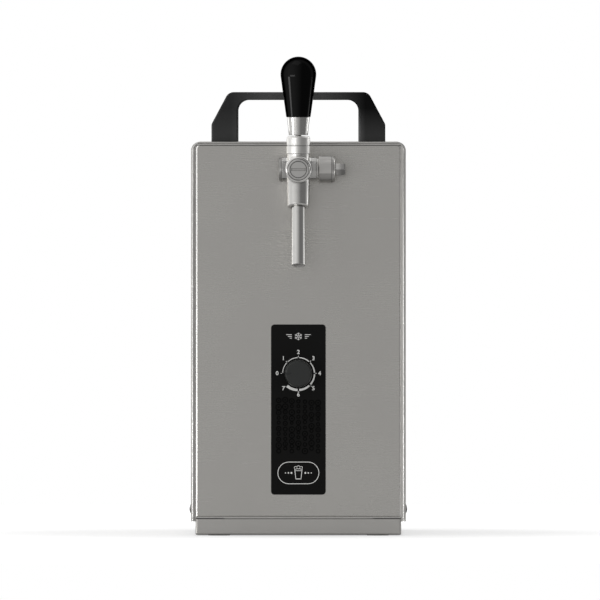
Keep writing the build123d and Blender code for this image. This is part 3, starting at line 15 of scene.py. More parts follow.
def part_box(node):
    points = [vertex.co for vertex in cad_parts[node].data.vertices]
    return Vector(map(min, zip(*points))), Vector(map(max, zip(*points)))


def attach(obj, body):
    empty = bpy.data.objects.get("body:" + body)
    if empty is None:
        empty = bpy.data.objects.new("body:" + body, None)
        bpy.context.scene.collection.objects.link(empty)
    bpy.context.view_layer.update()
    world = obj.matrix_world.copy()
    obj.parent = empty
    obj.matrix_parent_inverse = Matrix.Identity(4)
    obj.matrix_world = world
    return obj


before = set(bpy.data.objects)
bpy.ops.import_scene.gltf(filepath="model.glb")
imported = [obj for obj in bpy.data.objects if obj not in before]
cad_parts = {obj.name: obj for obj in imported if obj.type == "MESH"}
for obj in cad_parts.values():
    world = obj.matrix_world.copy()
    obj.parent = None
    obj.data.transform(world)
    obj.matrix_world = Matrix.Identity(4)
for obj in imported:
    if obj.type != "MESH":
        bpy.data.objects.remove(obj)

log = logging.getLogger("dispenser")
Colour = tuple[float, float, float]
Point2 = tuple[float, float]
Point3 = tuple[float, float, float]
Line = Sequence[Point2]
Build = bmesh.types.BMesh
Piece = bpy.types.Object
Node = bpy.types.Node
Socket = bpy.types.NodeSocket
Sockets = bpy.types.bpy_prop_collection
Tree = bpy.types.NodeTree
WHITE: Colour = (1.0, 1.0, 1.0)
GREY: Colour = (0.5, 0.5, 0.5)


class Grain(Enum):
    """Direction in which a metal surface was brushed, as the stretch of its noise."""

    UPRIGHT = (1.0, 1.0, 0.012)
    ACROSS = (0.012, 1.0, 1.0)
    TURNED = (0.5, 0.5, 0.5)


class Body(Enum):
    """CAD bodies that the visual pieces ride on."""

    CASE = "case"
    ADJUSTER = "adjuster"


class Along(Enum):
    """What a painted-light tone is measured by: the place on the object, or the way its face looks."""

    PLACE = "place"
    FACING = "facing"


class Graph:
    """Adds and links shader nodes in one node tree."""

    spacing: ClassVar[int] = 180

    def __init__(self, tree: Tree) -> None:
        """Keeps the tree that the nodes go into."""
        self.tree = tree
        self.column = 0

    def add(self, kind: str, *sources: object, **settings: object) -> Node:
        """Adds a node and feeds its first inputs.

        Args:
            kind: Blender's type name without the leading ShaderNode.
            sources: values or sockets for its first inputs, in order.
            settings: properties of the node.

        Returns:
            The new node.
        """
        node = self.tree.nodes.new("ShaderNode" + kind)
        for name, value in settings.items():
            setattr(node, name, value)
        for socket, source in zip(node.inputs, sources):
            self.feed(socket, source)
        node.location = (self.column * self.spacing, 0)
        self.column += 1
        return node

    def feed(self, target: Socket, source: object) -> None:
        """Links a socket to a target, or writes a constant on it.

        Args:
            target: the input.
            source: socket, number, colour or vector.
        """
        if isinstance(source, Socket):
            self.tree.links.new(source, target)
        elif isinstance(source, tuple) and target.type == "RGBA":
            target.default_value = (*source, 1.0)
        else:
            target.default_value = source

    def wire(self, inputs: Sockets, **sources: object) -> None:
        """Feeds inputs by name.

        Args:
            inputs: inputs of a node or a group.
            sources: values or sockets by name, with an underscore for a space.
        """
        for name, source in sources.items():
            self.feed(inputs[name.replace("_", " ")], source)

    def math(self, operation: str, first: object, second: object = 0.0, clamp: bool = False) -> Socket:
        """Result of a Math node, kept between 0 and 1 if clamped."""
        return self.add("Math", first, second, operation=operation, use_clamp=clamp).outputs[0]

    def vector(self, operation: str, *sources: object) -> Sockets:
        """Outputs of a Vector Math node, named Vector and Value."""
        return self.add("VectorMath", *sources, operation=operation).outputs

    def scale(self, colour: object, factor: object) -> Socket:
        """A colour times a factor."""
        return self.vector("SCALE", colour, (0.0, 0.0, 0.0), (0.0, 0.0, 0.0), factor)["Vector"]

    def spread(
            self, value: object, low: object, high: object, start: float = 0.0, end: float = 1.0) -> Socket:
        """A value that runs from start to end, mapped onto low to high and clamped."""
        return self.add("MapRange", value, start, end, low, high).outputs[0]

    def swing(self, value: Socket, amount: object) -> Socket:
        """Noise round 0.5, turned into a swing round 0 of an amount."""
        return self.math("MULTIPLY", self.math("SUBTRACT", value, 0.5), amount)

    def blend(self, factor: object, first: object, second: object, mode: str = "MIX") -> Socket:
        """Mixes two colours.

        Args:
            factor: share of the second colour.
            first: first colour or socket.
            second: second colour or socket.
            mode: how they mix.

        Returns:
            The mixed colour's socket.
        """
        node = self.add("Mix", data_type="RGBA", blend_type=mode)
        for key, source in (("Factor", factor), (6, first), (7, second)):
            self.feed(node.inputs[key], source)
        return node.outputs[2]

    def noise(self, vector: object, scale: object, detail: float, rough: float) -> Socket:
        """Adds a Noise texture.

        Args:
            vector: coordinates.
            scale: its scale per metre.
            detail: number of octaves.
            rough: weight of the finer octaves.

        Returns:
            The noise value's socket.
        """
        node = self.add("TexNoise")
        self.wire(node.inputs, Vector=vector, Scale=scale, Detail=detail, Roughness=rough)
        return node.outputs["Fac"]

    def place(self) -> Socket:
        """Coordinates on the object, which stay with it as it moves."""
        return self.add("TexCoord").outputs["Object"]

    def facing(self) -> Socket:
        """Direction that the face looks in, in the world."""
        return self.add("NewGeometry").outputs["Normal"]

    def axes(self, vector: object) -> Sockets:
        """Parts of a vector, named X, Y and Z."""
        return self.add("SeparateXYZ", vector).outputs

    def rounded(self, radius: object, samples: int = 4) -> Socket:
        """Normal of the surface with its edges rounded."""
        return self.add("Bevel", radius, samples=samples).outputs[0]

    def mirrors(self, path: Node) -> Socket:
        """1 for rays that come off or through something glossy."""
        return self.math("MAXIMUM", path.outputs["Is Glossy Ray"], path.outputs["Is Transmission Ray"])

    def bump(
            self, height: object, strength: float, distance: float, normal: Optional[Socket] = None) -> Socket:
        """Adds a Bump node.

        Args:
            height: height value.
            strength: how much of it shows.
            distance: depth in metres.
            normal: normal that it starts from.

        Returns:
            The bumped normal's socket.
        """
        node = self.add("Bump")
        self.wire(node.inputs, Strength=strength, Distance=distance, Height=height)
        if normal is not None:
            self.feed(node.inputs["Normal"], normal)
        return node.outputs["Normal"]


class Effects:
    """Shader groups, each built once. Noise is given as scale, detail and roughness."""

    fine_scratches: ClassVar[Point3] = (5200.0, 2.0, 0.6)
    broad_scratches: ClassVar[Point3] = (900.0, 2.0, 0.5)
    fine_share: ClassVar[float] = 0.65
    clouds: ClassVar[Point3] = (14.0, 3.0, 0.55)
    scratch_roughness: ClassVar[float] = 0.8
    cloud_roughness: ClassVar[float] = 0.6
    smudge_noise: ClassVar[Point2] = (5.0, 0.62)
    smudge_level: ClassVar[float] = 0.72
    smudge_reach: ClassVar[float] = 0.4
    smudge_contrast: ClassVar[float] = 4.0
    pit_noise: ClassVar[Point2] = (2.0, 0.6)
    flow_marks: ClassVar[Point3] = (22.0, 2.0, 0.5)
    worn_patches: ClassVar[Point3] = (160.0, 4.0, 0.6)
    worn_turn: ClassVar[Point2] = (0.99, 0.8)
    worn_cover: ClassVar[Point2] = (0.42, 0.62)
    bead_seam: ClassVar[float] = 0.12
    bead_shade: ClassVar[float] = 0.86
    shelter: ClassVar[Point2] = (0.25, 0.95)
    shelter_samples: ClassVar[int] = 8

    @staticmethod
    def start(name: str, inputs: dict[str, object], outputs: Sequence[str]) -> tuple[Graph, Sockets, Sockets]:
        """Opens a new group with named sockets.

        Args:
            name: name of the group.
            inputs: default value by input name; a tuple is a colour.
            outputs: names of the outputs; Color is a colour, the others are values.

        Returns:
            The group's graph, the sockets that it is given and the sockets that it makes.
        """
        tree = bpy.data.node_groups.new(name, "ShaderNodeTree")
        kinds = {tuple: "NodeSocketColor", Vector: "NodeSocketVector", float: "NodeSocketFloat"}
        for label, value in inputs.items():
            socket = tree.interface.new_socket(name=label, in_out="INPUT", socket_type=kinds[type(value)])
            socket.default_value = (*value, 1.0) if isinstance(value, tuple) else value
        for label in outputs:
            kind = kinds[tuple if label == "Color" else float]
            tree.interface.new_socket(name=label, in_out="OUTPUT", socket_type=kind)
        given, made = (tree.nodes.new("NodeGroup" + side) for side in ("Input", "Output"))
        return Graph(tree), given.outputs, made.inputs

    @staticmethod
    @cache
    def brushed() -> Tree:
        """Long scratches and cloudy patches of brushed sheet: Color, Roughness and Height."""
        graph, given, made = Effects.start(
            "Brushed grain",
            {"Tint": GREY, "Stretch": Vector((1, 1, 1)), "Contrast": 0.1, "Roughness": 0.35,
             "Patchiness": 0.05},
            ("Color", "Roughness", "Height"))
        drawn = graph.vector("MULTIPLY", graph.place(), given["Stretch"])["Vector"]
        fine = graph.math("MULTIPLY", graph.noise(drawn, *Effects.fine_scratches), Effects.fine_share)
        broad = graph.math("MULTIPLY", graph.noise(drawn, *Effects.broad_scratches), 1.0 - Effects.fine_share)
        streaks = graph.math("ADD", fine, broad)
        lift = graph.swing(streaks, given["Contrast"])
        haze = graph.swing(graph.noise(graph.place(), *Effects.clouds), given["Patchiness"])
        level = graph.math("ADD", graph.math("ADD", lift, haze), 1.0)
        rough = graph.math("ADD", given["Roughness"], graph.math("MULTIPLY", lift, Effects.scratch_roughness))
        cloudy = graph.math("ADD", rough, graph.math("MULTIPLY", haze, Effects.cloud_roughness), clamp=True)
        graph.wire(made, Color=graph.scale(given["Tint"], level), Roughness=cloudy, Height=streaks)
        return graph.tree

    @staticmethod
    @cache
    def handled() -> Tree:
        """Smudges from wiping and handling: a Mask between 0 and 1."""
        graph, given, made = Effects.start("Handling film", {"Size": 0.02, "Cover": 0.4}, ("Mask",))
        scale = graph.math("DIVIDE", 1.0, given["Size"])
        cloud = graph.noise(graph.place(), scale, *Effects.smudge_noise)
        covered = graph.math("MULTIPLY", given["Cover"], Effects.smudge_reach)
        above = graph.math("SUBTRACT", cloud, graph.math("SUBTRACT", Effects.smudge_level, covered))
        graph.feed(made["Mask"], graph.math("MULTIPLY", above, Effects.smudge_contrast, clamp=True))
        return graph.tree

    @staticmethod
    @cache
    def moulded() -> Tree:
        """Spark-eroded grain of a moulding: Color, Roughness and Height."""
        graph, given, made = Effects.start(
            "Moulded grain", {"Tint": GREY, "Grain Size": 0.0004, "Roughness": 0.5, "Variation": 0.1},
            ("Color", "Roughness", "Height"))
        scale = graph.math("DIVIDE", 1.0, given["Grain Size"])
        pits = graph.noise(graph.place(), scale, *Effects.pit_noise)
        drift = graph.swing(graph.noise(graph.place(), *Effects.flow_marks), given["Variation"])
        grit = graph.swing(pits, given["Variation"])
        level = graph.math("ADD", 1.0, graph.math("ADD", drift, grit))
        rough = graph.math("ADD", given["Roughness"], drift, clamp=True)
        graph.wire(made, Color=graph.scale(given["Tint"], level), Roughness=rough, Height=pits)
        return graph.tree

    @staticmethod
    @cache
    def worn() -> Tree:
        """Edges rubbed pale by use: a Mask between 0 and 1."""
        graph, given, made = Effects.start("Worn edge", {"Width": 0.0006, "Amount": 0.5}, ("Mask",))
        turned = graph.vector("DOT_PRODUCT", graph.rounded(given["Width"]), graph.facing())["Value"]
        edge = graph.spread(turned, 0.0, 1.0, *Effects.worn_turn)
        patches = graph.noise(graph.place(), *Effects.worn_patches)
        rubbed = graph.math("MULTIPLY", edge, graph.spread(patches, 0.0, 1.0, *Effects.worn_cover))
        graph.feed(made["Mask"], graph.math("MULTIPLY", rubbed, given["Amount"], clamp=True))
        return graph.tree

    @staticmethod
    @cache
    def beaded() -> Tree:
        """Skin of moulded foam beads: Color and Height."""
        graph, given, made = Effects.start(
            "Foam beads", {"Tint": GREY, "Bead Size": 0.003}, ("Color", "Height"))
        cells = graph.add("TexVoronoi", feature="DISTANCE_TO_EDGE")
        graph.wire(cells.inputs, Vector=graph.place(), Scale=graph.math("DIVIDE", 1.0, given["Bead Size"]))
        seam = graph.spread(cells.outputs["Distance"], 0.0, 1.0, 0.0, Effects.bead_seam)
        level = graph.spread(seam, Effects.bead_shade, 1.0)
        graph.wire(made, Color=graph.scale(given["Tint"], level), Height=seam)
        return graph.tree

    @staticmethod
    @cache
    def creviced() -> Tree:
        """Shade that gathers in grooves and where pieces meet: a Mask that is 1 in the open."""
        graph, given, made = Effects.start("Crevice shade", {"Reach": 0.0015, "Darkness": 0.5}, ("Mask",))
        sky = graph.add("AmbientOcclusion", samples=Effects.shelter_samples)
        graph.feed(sky.inputs["Distance"], given["Reach"])
        closed = graph.math("SUBTRACT", 1.0, graph.spread(sky.outputs["AO"], 0.0, 1.0, *Effects.shelter))
        lost = graph.math("MULTIPLY", closed, given["Darkness"])
        graph.feed(made["Mask"], graph.math("SUBTRACT", 1.0, lost))
        return graph.tree

    @staticmethod
    def put(graph: Graph, tree: Tree, **values: object) -> Sockets:
        """Places a group in a material.

        Args:
            graph: the material's graph.
            tree: the group.
            values: input values by name, with an underscore for a space.

        Returns:
            The group's outputs.
        """
        node = graph.add("Group", node_tree=tree)
        graph.wire(node.inputs, **values)
        return node.outputs


@dataclass(frozen=True)
class Tone:
    """Painted light: a factor that darkens or brightens a colour along one axis, as painted shade or painted
    highlight.
    """

    along: Along
    axis: str
    start: float
    end: float
    before: Union[float, "Tone"]
    after: float

    def factor(self, graph: Graph) -> Socket:
        """Builds the factor.

        Args:
            graph: the graph it is built in.

        Returns:
            The factor's socket.
        """
        measured = graph.axes(graph.place() if self.along is Along.PLACE else graph.facing())
        before = self.before.factor(graph) if isinstance(self.before, Tone) else self.before
        return graph.spread(measured[self.axis], before, self.after, self.start, self.end)


@dataclass(frozen=True)
class Finish:
    """One surface finish; subclasses fill in the shader."""

    name: str
    tint: Colour
    roughness: float
    tones: tuple[Tone, ...] = field(default=(), kw_only=True)

    def material(self) -> bpy.types.Material:
        """Makes the finish's material on first use.

        Returns:
            The material.
        """
        made = bpy.data.materials.get(self.name)
        if made is None:
            made = bpy.data.materials.new(self.name)
            made.use_nodes = True
            made.diffuse_color = (*self.tint, 1.0)
            graph = Graph(made.node_tree)
            surface = made.node_tree.nodes["Principled BSDF"].inputs
            graph.feed(surface["Roughness"], self.roughness)
            self.paint(graph, surface)
            # Painted light: each tone darkens or brightens the colour by place or by the way the face looks.
            for tone in self.tones:
                self.tone(graph, surface, tone.factor(graph))
        return made

    def paint(self, graph: Graph, surface: Sockets) -> None:
        """Feeds the finish into the surface shader.

        Args:
            graph: the material's graph.
            surface: the shader's inputs.
        """
        raise NotImplementedError

    def tone(self, graph: Graph, surface: Sockets, factor: Socket) -> None:
        """Multiplies the colour that is already fed into the shader by a factor of painted light or shade."""
        colour = surface["Base Color"]
        graph.feed(colour, graph.scale(colour.links[0].from_socket, factor))

    def dress(self, piece: Piece) -> None:
        """Gives the whole piece this finish."""
        piece.data.materials.clear()
        piece.data.materials.append(self.material())


@dataclass(frozen=True)
class BrushedMetal(Finish):
    """Brushed, turned or drawn metal. A painted highlight, the bend tint, brightens the colour of the faces
    that a fold turns aside.
    """

    grain: Grain = Grain.UPRIGHT
    contrast: float = 0.12
    patchiness: float = 0.06
    depth: float = 0.000004
    anisotropy: float = 0.4
    edge: float = 0.0003
    shade: float = 0.0
    reach: float = 0.0015
    film_size: float = 0.05
    film_cover: float = 0.45
    film_roughness: float = 0.015
    relief: float = 0.25
    bend_tint: Optional[Colour] = None
    bend_roughness: float = 0.18
    bend_turn: Point2 = (0.12, 0.22)
    folded: bool = False
    fold_turn: Point2 = (0.72, 0.84)
    fold_facet: Point2 = (0.5, 0.866)

    def paint(self, graph: Graph, surface: Sockets) -> None:
        """Feeds drawn-out noise into colour, roughness and height, with painted crevice shade and a painted
        bend highlight where set.
        """
        marks = Effects.put(
            graph, Effects.brushed(), Tint=self.tint, Stretch=self.grain.value, Contrast=self.contrast,
            Roughness=self.roughness, Patchiness=self.patchiness)
        film = Effects.put(graph, Effects.handled(), Size=self.film_size, Cover=self.film_cover)
        smeared = graph.math("MULTIPLY", film["Mask"], self.film_roughness)
        colour, rough = marks["Color"], graph.math("ADD", marks["Roughness"], smeared)
        normal = graph.rounded(self.edge)
        # Painted shade: the colour is darkened in grooves and where pieces meet.
        if self.shade > 0:
            painted_crevice_shade = Effects.put(graph, Effects.creviced(), Reach=self.reach, Darkness=self.shade)
            colour = graph.blend(1.0, colour, painted_crevice_shade["Mask"], "MULTIPLY")
        # Painted highlight: faces that a fold turns aside get a brighter colour, as well as a lower roughness
        # and, if folded, a slanting facet.
        if self.bend_tint is not None:
            facing = graph.axes(graph.facing())
            aside = graph.math("ABSOLUTE", facing["X"])
            bend = graph.spread(aside, 0.0, 1.0, *self.bend_turn)
            colour = graph.blend(bend, colour, self.bend_tint)
            rough = graph.spread(bend, rough, self.bend_roughness)
            if self.folded:
                crease = graph.math("MULTIPLY", bend, graph.spread(aside, 1.0, 0.0, *self.fold_turn))
                normal = self.facet(graph, facing, crease, normal)
        graph.wire(
            surface, Metallic=1.0, Base_Color=colour, Roughness=rough, Anisotropic=self.anisotropy,
            Normal=graph.bump(marks["Height"], self.relief, self.depth, normal))

    def facet(self, graph: Graph, facing: Sockets, crease: Socket, normal: Socket) -> Socket:
        """Flattens the round of a fold into one slanting facet.

        Args:
            graph: the material's graph.
            facing: parts of the face's direction.
            crease: 1 on the round of the fold.
            normal: normal of the rest.

        Returns:
            The new normal's socket.
        """
        slant = graph.add("CombineXYZ")
        for axis, share in zip("XY", self.fold_facet):
            graph.feed(slant.inputs[axis], graph.math("MULTIPLY", graph.math("SIGN", facing[axis]), share))
        flat = graph.add("Mix", data_type="VECTOR")
        for key, source in (("Factor", crease), (4, normal), (5, slant.outputs[0])):
            graph.feed(flat.inputs[key], source)
        return flat.outputs[1]


@dataclass(frozen=True)
class PolishedMetal(Finish):
    """Polished casting or bar with faint wiping marks."""

    smear: float = 0.06
    ripple: float = 0.000010
    edge: float = 0.0005
    shade: float = 0.8
    reach: float = 0.0016
    film_size: float = 0.006
    film_cover: float = 0.5
    film_shades: Point2 = (1.04, 0.93)
    waves: Point3 = (120.0, 2.0, 0.5)
    relief: float = 0.2
    edge_samples: int = 6

    def paint(self, graph: Graph, surface: Sockets) -> None:
        """Feeds bright metal whose roughness and colour drift slightly with handling film, with painted shade
        in its crevices.
        """
        film = Effects.put(graph, Effects.handled(), Size=self.film_size, Cover=self.film_cover)["Mask"]
        pale, dull = (tuple(min(1.0, channel * shade) for channel in self.tint) for shade in self.film_shades)
        # Painted shade: the colour is darkened in grooves and where pieces meet.
        painted_crevice_shade = Effects.put(graph, Effects.creviced(), Reach=self.reach, Darkness=self.shade)
        wave = graph.noise(graph.place(), *self.waves)
        graph.wire(
            surface, Metallic=1.0,
            Base_Color=graph.blend(1.0, graph.blend(film, pale, dull), painted_crevice_shade["Mask"], "MULTIPLY"),
            Roughness=graph.spread(film, self.roughness, self.roughness + self.smear),
            Normal=graph.bump(wave, self.relief, self.ripple, graph.rounded(self.edge, self.edge_samples)))


@dataclass(frozen=True)
class WipedMetal(PolishedMetal):
    """Polished casting with painted light: a painted highlight at its neck and left side, and painted shade on
    the cross barrel.
    """

    lift: float = 1.45
    neck: Point2 = (0.2949, 0.3040)
    side_lift: float = 1.40
    side: Point2 = (-0.0086, -0.0072)
    barrel: float = 0.80
    barrel_start: Point2 = (0.0096, 0.0100)

    def paint(self, graph: Graph, surface: Sockets) -> None:
        """Feeds polished metal, its colour raised as painted highlight or lowered as painted shade by place.
        """
        super().paint(graph, surface)
        place = graph.axes(graph.place())
        # Painted highlight on the neck and left side, painted shade on the cross barrel.
        neck = graph.spread(place["Z"], 1.0, self.lift, *self.neck)
        side = graph.spread(place["X"], self.side_lift, 1.0, *self.side)
        column = graph.math("MAXIMUM", neck, side)
        off_axis = graph.math("ABSOLUTE", place["X"])
        self.tone(graph, surface, graph.spread(off_axis, column, self.barrel, *self.barrel_start))


@dataclass(frozen=True)
class TubeMetal(PolishedMetal):
    """Polished tube with a dull bore."""

    start: Point3 = (0.0, -0.18635, 0.2949)
    along: Point3 = (0.0, -0.30902, -0.95106)
    bore: float = 0.0048
    bore_tint: Colour = (0.42, 0.41, 0.40)
    bore_roughness: float = 0.6

    def paint(self, graph: Graph, surface: Sockets) -> None:
        """Feeds polished metal outside, and dull scattering metal inside the bore's radius."""
        super().paint(graph, surface)
        offset = graph.vector("SUBTRACT", graph.place(), self.start)["Vector"]
        aside = graph.vector("CROSS_PRODUCT", offset, self.along)["Vector"]
        inside = graph.math("LESS_THAN", graph.vector("LENGTH", aside)["Value"], self.bore)
        polished, smooth = (surface[name].links[0].from_socket for name in ("Base Color", "Roughness"))
        graph.wire(
            surface, Base_Color=graph.blend(inside, polished, self.bore_tint),
            Roughness=graph.spread(inside, smooth, self.bore_roughness),
            Metallic=graph.math("SUBTRACT", 1.0, inside))


@dataclass(frozen=True)
class Moulding(Finish):
    """Moulded plastic, rubber or enamel with a fine grain."""

    grain_size: float = 0.0004
    depth: float = 0.00002
    specular: float = 0.5
    variation: float = 0.12
    wear: float = 0.0
    worn_tint: Colour = (0.2, 0.2, 0.2)
    worn_reach: float = 1.5
    coat: float = 0.0
    coat_roughness: float = 0.06
    edge: float = 0.0004
    relief: float = 0.35

    def paint(self, graph: Graph, surface: Sockets) -> None:
        """Feeds plastic with pits, a rubbed edge and an optional clear coat."""
        skin = Effects.put(
            graph, Effects.moulded(), Tint=self.tint, Grain_Size=self.grain_size, Roughness=self.roughness,
            Variation=self.variation)
        colour = skin["Color"]
        if self.wear > 0:
            rub = Effects.put(graph, Effects.worn(), Width=self.edge * self.worn_reach, Amount=self.wear)
            colour = graph.blend(rub["Mask"], colour, self.worn_tint)
        graph.wire(
            surface, Specular_IOR_Level=self.specular, Coat_Weight=self.coat,
            Coat_Roughness=self.coat_roughness, Base_Color=colour, Roughness=skin["Roughness"],
            Normal=graph.bump(skin["Height"], self.relief, self.depth, graph.rounded(self.edge)))


@dataclass(frozen=True)
class Phenolic(Moulding):
    """Black moulding that mirrors weakly and keeps a dark rim."""

    rim_tint: Colour = (0.30, 0.30, 0.30)

    def paint(self, graph: Graph, surface: Sockets) -> None:
        """Feeds a moulding with a mirror layer that stays dark at its edge."""
        super().paint(graph, surface)
        graph.wire(surface, Metallic=1.0, Specular_Tint=self.rim_tint)


@dataclass(frozen=True)
class BeadFoam(Finish):
    """Moulded bead foam."""

    bead: float = 0.003
    relief: float = 0.5
    depth: float = 0.0004

    def paint(self, graph: Graph, surface: Sockets) -> None:
        """Feeds matt foam with bead seams."""
        skin = Effects.put(graph, Effects.beaded(), Tint=self.tint, Bead_Size=self.bead)
        normal = graph.bump(skin["Height"], self.relief, self.depth)
        graph.wire(surface, Base_Color=skin["Color"], Normal=normal)


@dataclass(frozen=True)
class Ink(Finish):
    """Screen-printed ink, slightly uneven."""

    specular: float = 0.2
    grain_size: float = 0.0003
    variation: float = 0.08

    def paint(self, graph: Graph, surface: Sockets) -> None:
        """Feeds flat ink with a dusty unevenness."""
        skin = Effects.put(
            graph, Effects.moulded(), Tint=self.tint, Grain_Size=self.grain_size, Roughness=self.roughness,
            Variation=self.variation)
        graph.wire(
            surface, Specular_IOR_Level=self.specular, Base_Color=skin["Color"], Roughness=skin["Roughness"])


@dataclass(frozen=True)
class Copper(Finish):
    """Drawn copper tube with a darker tarnish."""

    tarnish: Colour = (0.30, 0.13, 0.07)
    tarnish_roughness: float = 0.25
    film_size: float = 0.012
    film_cover: float = 0.6

    def paint(self, graph: Graph, surface: Sockets) -> None:
        """Feeds copper that is mottled by tarnish."""
        film = Effects.put(graph, Effects.handled(), Size=self.film_size, Cover=self.film_cover)["Mask"]
        rough = graph.spread(film, self.roughness, self.roughness + self.tarnish_roughness)
        mottled = graph.blend(film, self.tint, self.tarnish)
        graph.wire(surface, Metallic=1.0, Base_Color=mottled, Roughness=rough)


# The brighter bend tint is a painted highlight on the panel's folded edges.
PANEL_STEEL = BrushedMetal(
    "panel steel", (0.540, 0.527, 0.501), 0.27, Grain.ACROSS, contrast=0.05, patchiness=0.07, depth=0.0000006,
    anisotropy=0.2, bend_tint=(0.92, 0.91, 0.89), folded=True)
JACKET_STEEL = BrushedMetal("jacket steel", (0.500, 0.489, 0.471), 0.34, contrast=0.10, edge=0.0004)
TRAY_STEEL = BrushedMetal(
    "tray steel", (0.530, 0.518, 0.496), 0.30, Grain.ACROSS, contrast=0.05, depth=0.0000008, anisotropy=0.2)
# The brighter bend tint is a painted highlight on the rim bead's sides.
RIM_STEEL = BrushedMetal(
    "rim steel", (0.400, 0.392, 0.378), 0.26, contrast=0.06, anisotropy=0.0, edge=0.0001,
    bend_tint=(0.90, 0.89, 0.87))
ZINC = BrushedMetal("zinc plate", (0.40, 0.41, 0.43), 0.35, Grain.TURNED, contrast=0.2, patchiness=0.3)
SCREW_STEEL = BrushedMetal("dark screw steel", (0.060, 0.058, 0.056), 0.30, Grain.TURNED, contrast=0.2)
TUBE_STEEL = BrushedMetal("stainless tube", (0.45, 0.44, 0.43), 0.25, Grain.TURNED, contrast=0.1)
SATIN = BrushedMetal(
    "satin turned steel", (0.480, 0.470, 0.453), 0.34, Grain.TURNED, contrast=0.10, anisotropy=0.0,
    edge=0.0004, shade=0.8)
# Painted light: the adjuster knob is darkened on faces turned down, brightened on faces turned aside and
# darkened a little on faces turned up.
KNOB_STEEL = replace(SATIN, name="adjuster steel", tones=(
    Tone(Along.FACING, "Z", -0.33, -0.26, 0.74, 1.20), Tone(Along.FACING, "Z", 0.50, 0.75, 1.0, 0.70)))
# Painted shade: a darker copy of the satin steel, for the adjuster's cap.
SHADED_CAP_STEEL = replace(SATIN, name="cap steel", tint=(0.260, 0.255, 0.246), edge=0.0008)
ALUMINIUM = BrushedMetal("milled aluminium", (0.66, 0.66, 0.67), 0.30, Grain.ACROSS, contrast=0.15)
FIN_ALUMINIUM = BrushedMetal("fin aluminium", (0.60, 0.60, 0.61), 0.38, contrast=0.2, patchiness=0.3)
CONTACT = BrushedMetal("contact brass", (0.66, 0.47, 0.18), 0.25, Grain.TURNED)
CHROME = PolishedMetal("polished chrome", (0.540, 0.533, 0.518), 0.12, edge=0.0008)
# Painted light on the tap casting: brighter neck and left side, darker cross barrel.
CAST_CHROME = WipedMetal("chromed casting", (0.560, 0.552, 0.536), 0.17, edge=0.0008)
SPOUT_CHROME = TubeMetal("spout chrome", (0.58, 0.572, 0.556), 0.12, edge=0.0003)
# Rougher satin chrome; its tint is raised above the other chrome as a painted highlight on the collar nut.
COLLAR_CHROME = PolishedMetal("chromed collar", (0.720, 0.711, 0.692), 0.36, edge=0.0004)
SHOULDER_CHROME = PolishedMetal("turned shoulder", (0.640, 0.630, 0.612), 0.14, edge=0.0001, shade=0.0)
BONNET_CHROME = PolishedMetal(
    "turned bonnet", (0.500, 0.490, 0.472), 0.26, edge=0.0002, shade=0.6, reach=0.0006)
# Painted light: the end nut is darkened on faces turned down, brightened on faces turned up and darkened
# towards its right end.
NUT_CHROME = PolishedMetal(
    "small nut chrome", (0.500, 0.491, 0.476), 0.14, edge=0.0005, shade=0.7, reach=0.0010,
    tones=(
        Tone(Along.FACING, "Z", -0.30, 0.10, 0.60, 1.15), Tone(Along.PLACE, "X", 0.0318, 0.0350, 1.1, 0.62)))
PLUG_CHROME = PolishedMetal(
    "chromed plug", (0.520, 0.513, 0.498), 0.34, edge=0.0001, shade=1.0, reach=0.0012)
# Painted shade: dark rings that stand for the shade in the gap round the plug and in the knob's groove.
PAINTED_GROOVE_SHADE = PolishedMetal("groove shade", (0.160, 0.157, 0.152), 0.45, edge=0.0001, shade=0.0)
SEAM_STEEL = PolishedMetal("seam steel", (0.600, 0.590, 0.570), 0.40, edge=0.0002, shade=0.0)
BLACK_MOULDING = Moulding(
    "black moulding", (0.0140, 0.0142, 0.0142), 0.40, specular=0.30, wear=0.25, worn_tint=(0.05, 0.05, 0.05),
    edge=0.0006)
DIAL_MOULDING = Moulding("dial moulding", (0.0225, 0.0240, 0.0230), 0.40, specular=0.3, grain_size=0.0003)
PLATE_BLACK = Moulding(
    "plate black", (0.0088, 0.0087, 0.0085), 0.55, specular=0.03, grain_size=0.00025, depth=0.000006,
    edge=0.0002)
RUBBER = Moulding(
    "black rubber", (0.016, 0.016, 0.016), 0.72, specular=0.3, grain_size=0.0005, variation=0.25)
ENAMEL = Moulding("black enamel", (0.010, 0.010, 0.011), 0.25, grain_size=0.002, depth=0.00003, coat=0.4)
GREY_PLASTIC = Moulding("grey moulding", (0.19, 0.20, 0.21), 0.45)
BLUE_RING = Moulding("blue release ring", (0.010, 0.06, 0.30), 0.35)
# Painted shade: near-black plates on the screw heads that stand for the shade in their cross recesses.
RECESS_SHADE_PAINT = Moulding("screw recess", (0.004, 0.004, 0.004), 0.5, specular=0.2)
# Painted reflection: the handles are darkened towards their left and right ends, and lightened low on their
# legs, most on the right.
HANDLE_BLACK = Phenolic("handle moulding", (0.0850, 0.0855, 0.0855), 0.40, edge=0.0006, tones=(
    Tone(Along.PLACE, "X", -0.055, -0.026, 0.38, 1.0), Tone(Along.PLACE, "X", 0.020, 0.054, 1.15, 0.11),
    Tone(Along.PLACE, "Z", 0.3218, 0.3440, Tone(Along.PLACE, "X", -0.05, 0.05, 1.8, 6.5), 1.0)))
GRIP_BLACK = Phenolic(
    "grip phenolic", (0.0110, 0.0110, 0.0110), 0.06, grain_size=0.004, depth=0.00001, variation=0.05,
    edge=0.0003)
FOAM = BeadFoam("insulation foam", (0.70, 0.71, 0.69), 0.85)
COPPER = Copper("drawn copper", (0.62, 0.27, 0.15), 0.25)
WHITE_INK = Ink("white print", (0.82, 0.82, 0.80), 0.5)
DARK_INK = Ink("tone print", (0.0022, 0.0022, 0.0022), 0.5, specular=0.02)
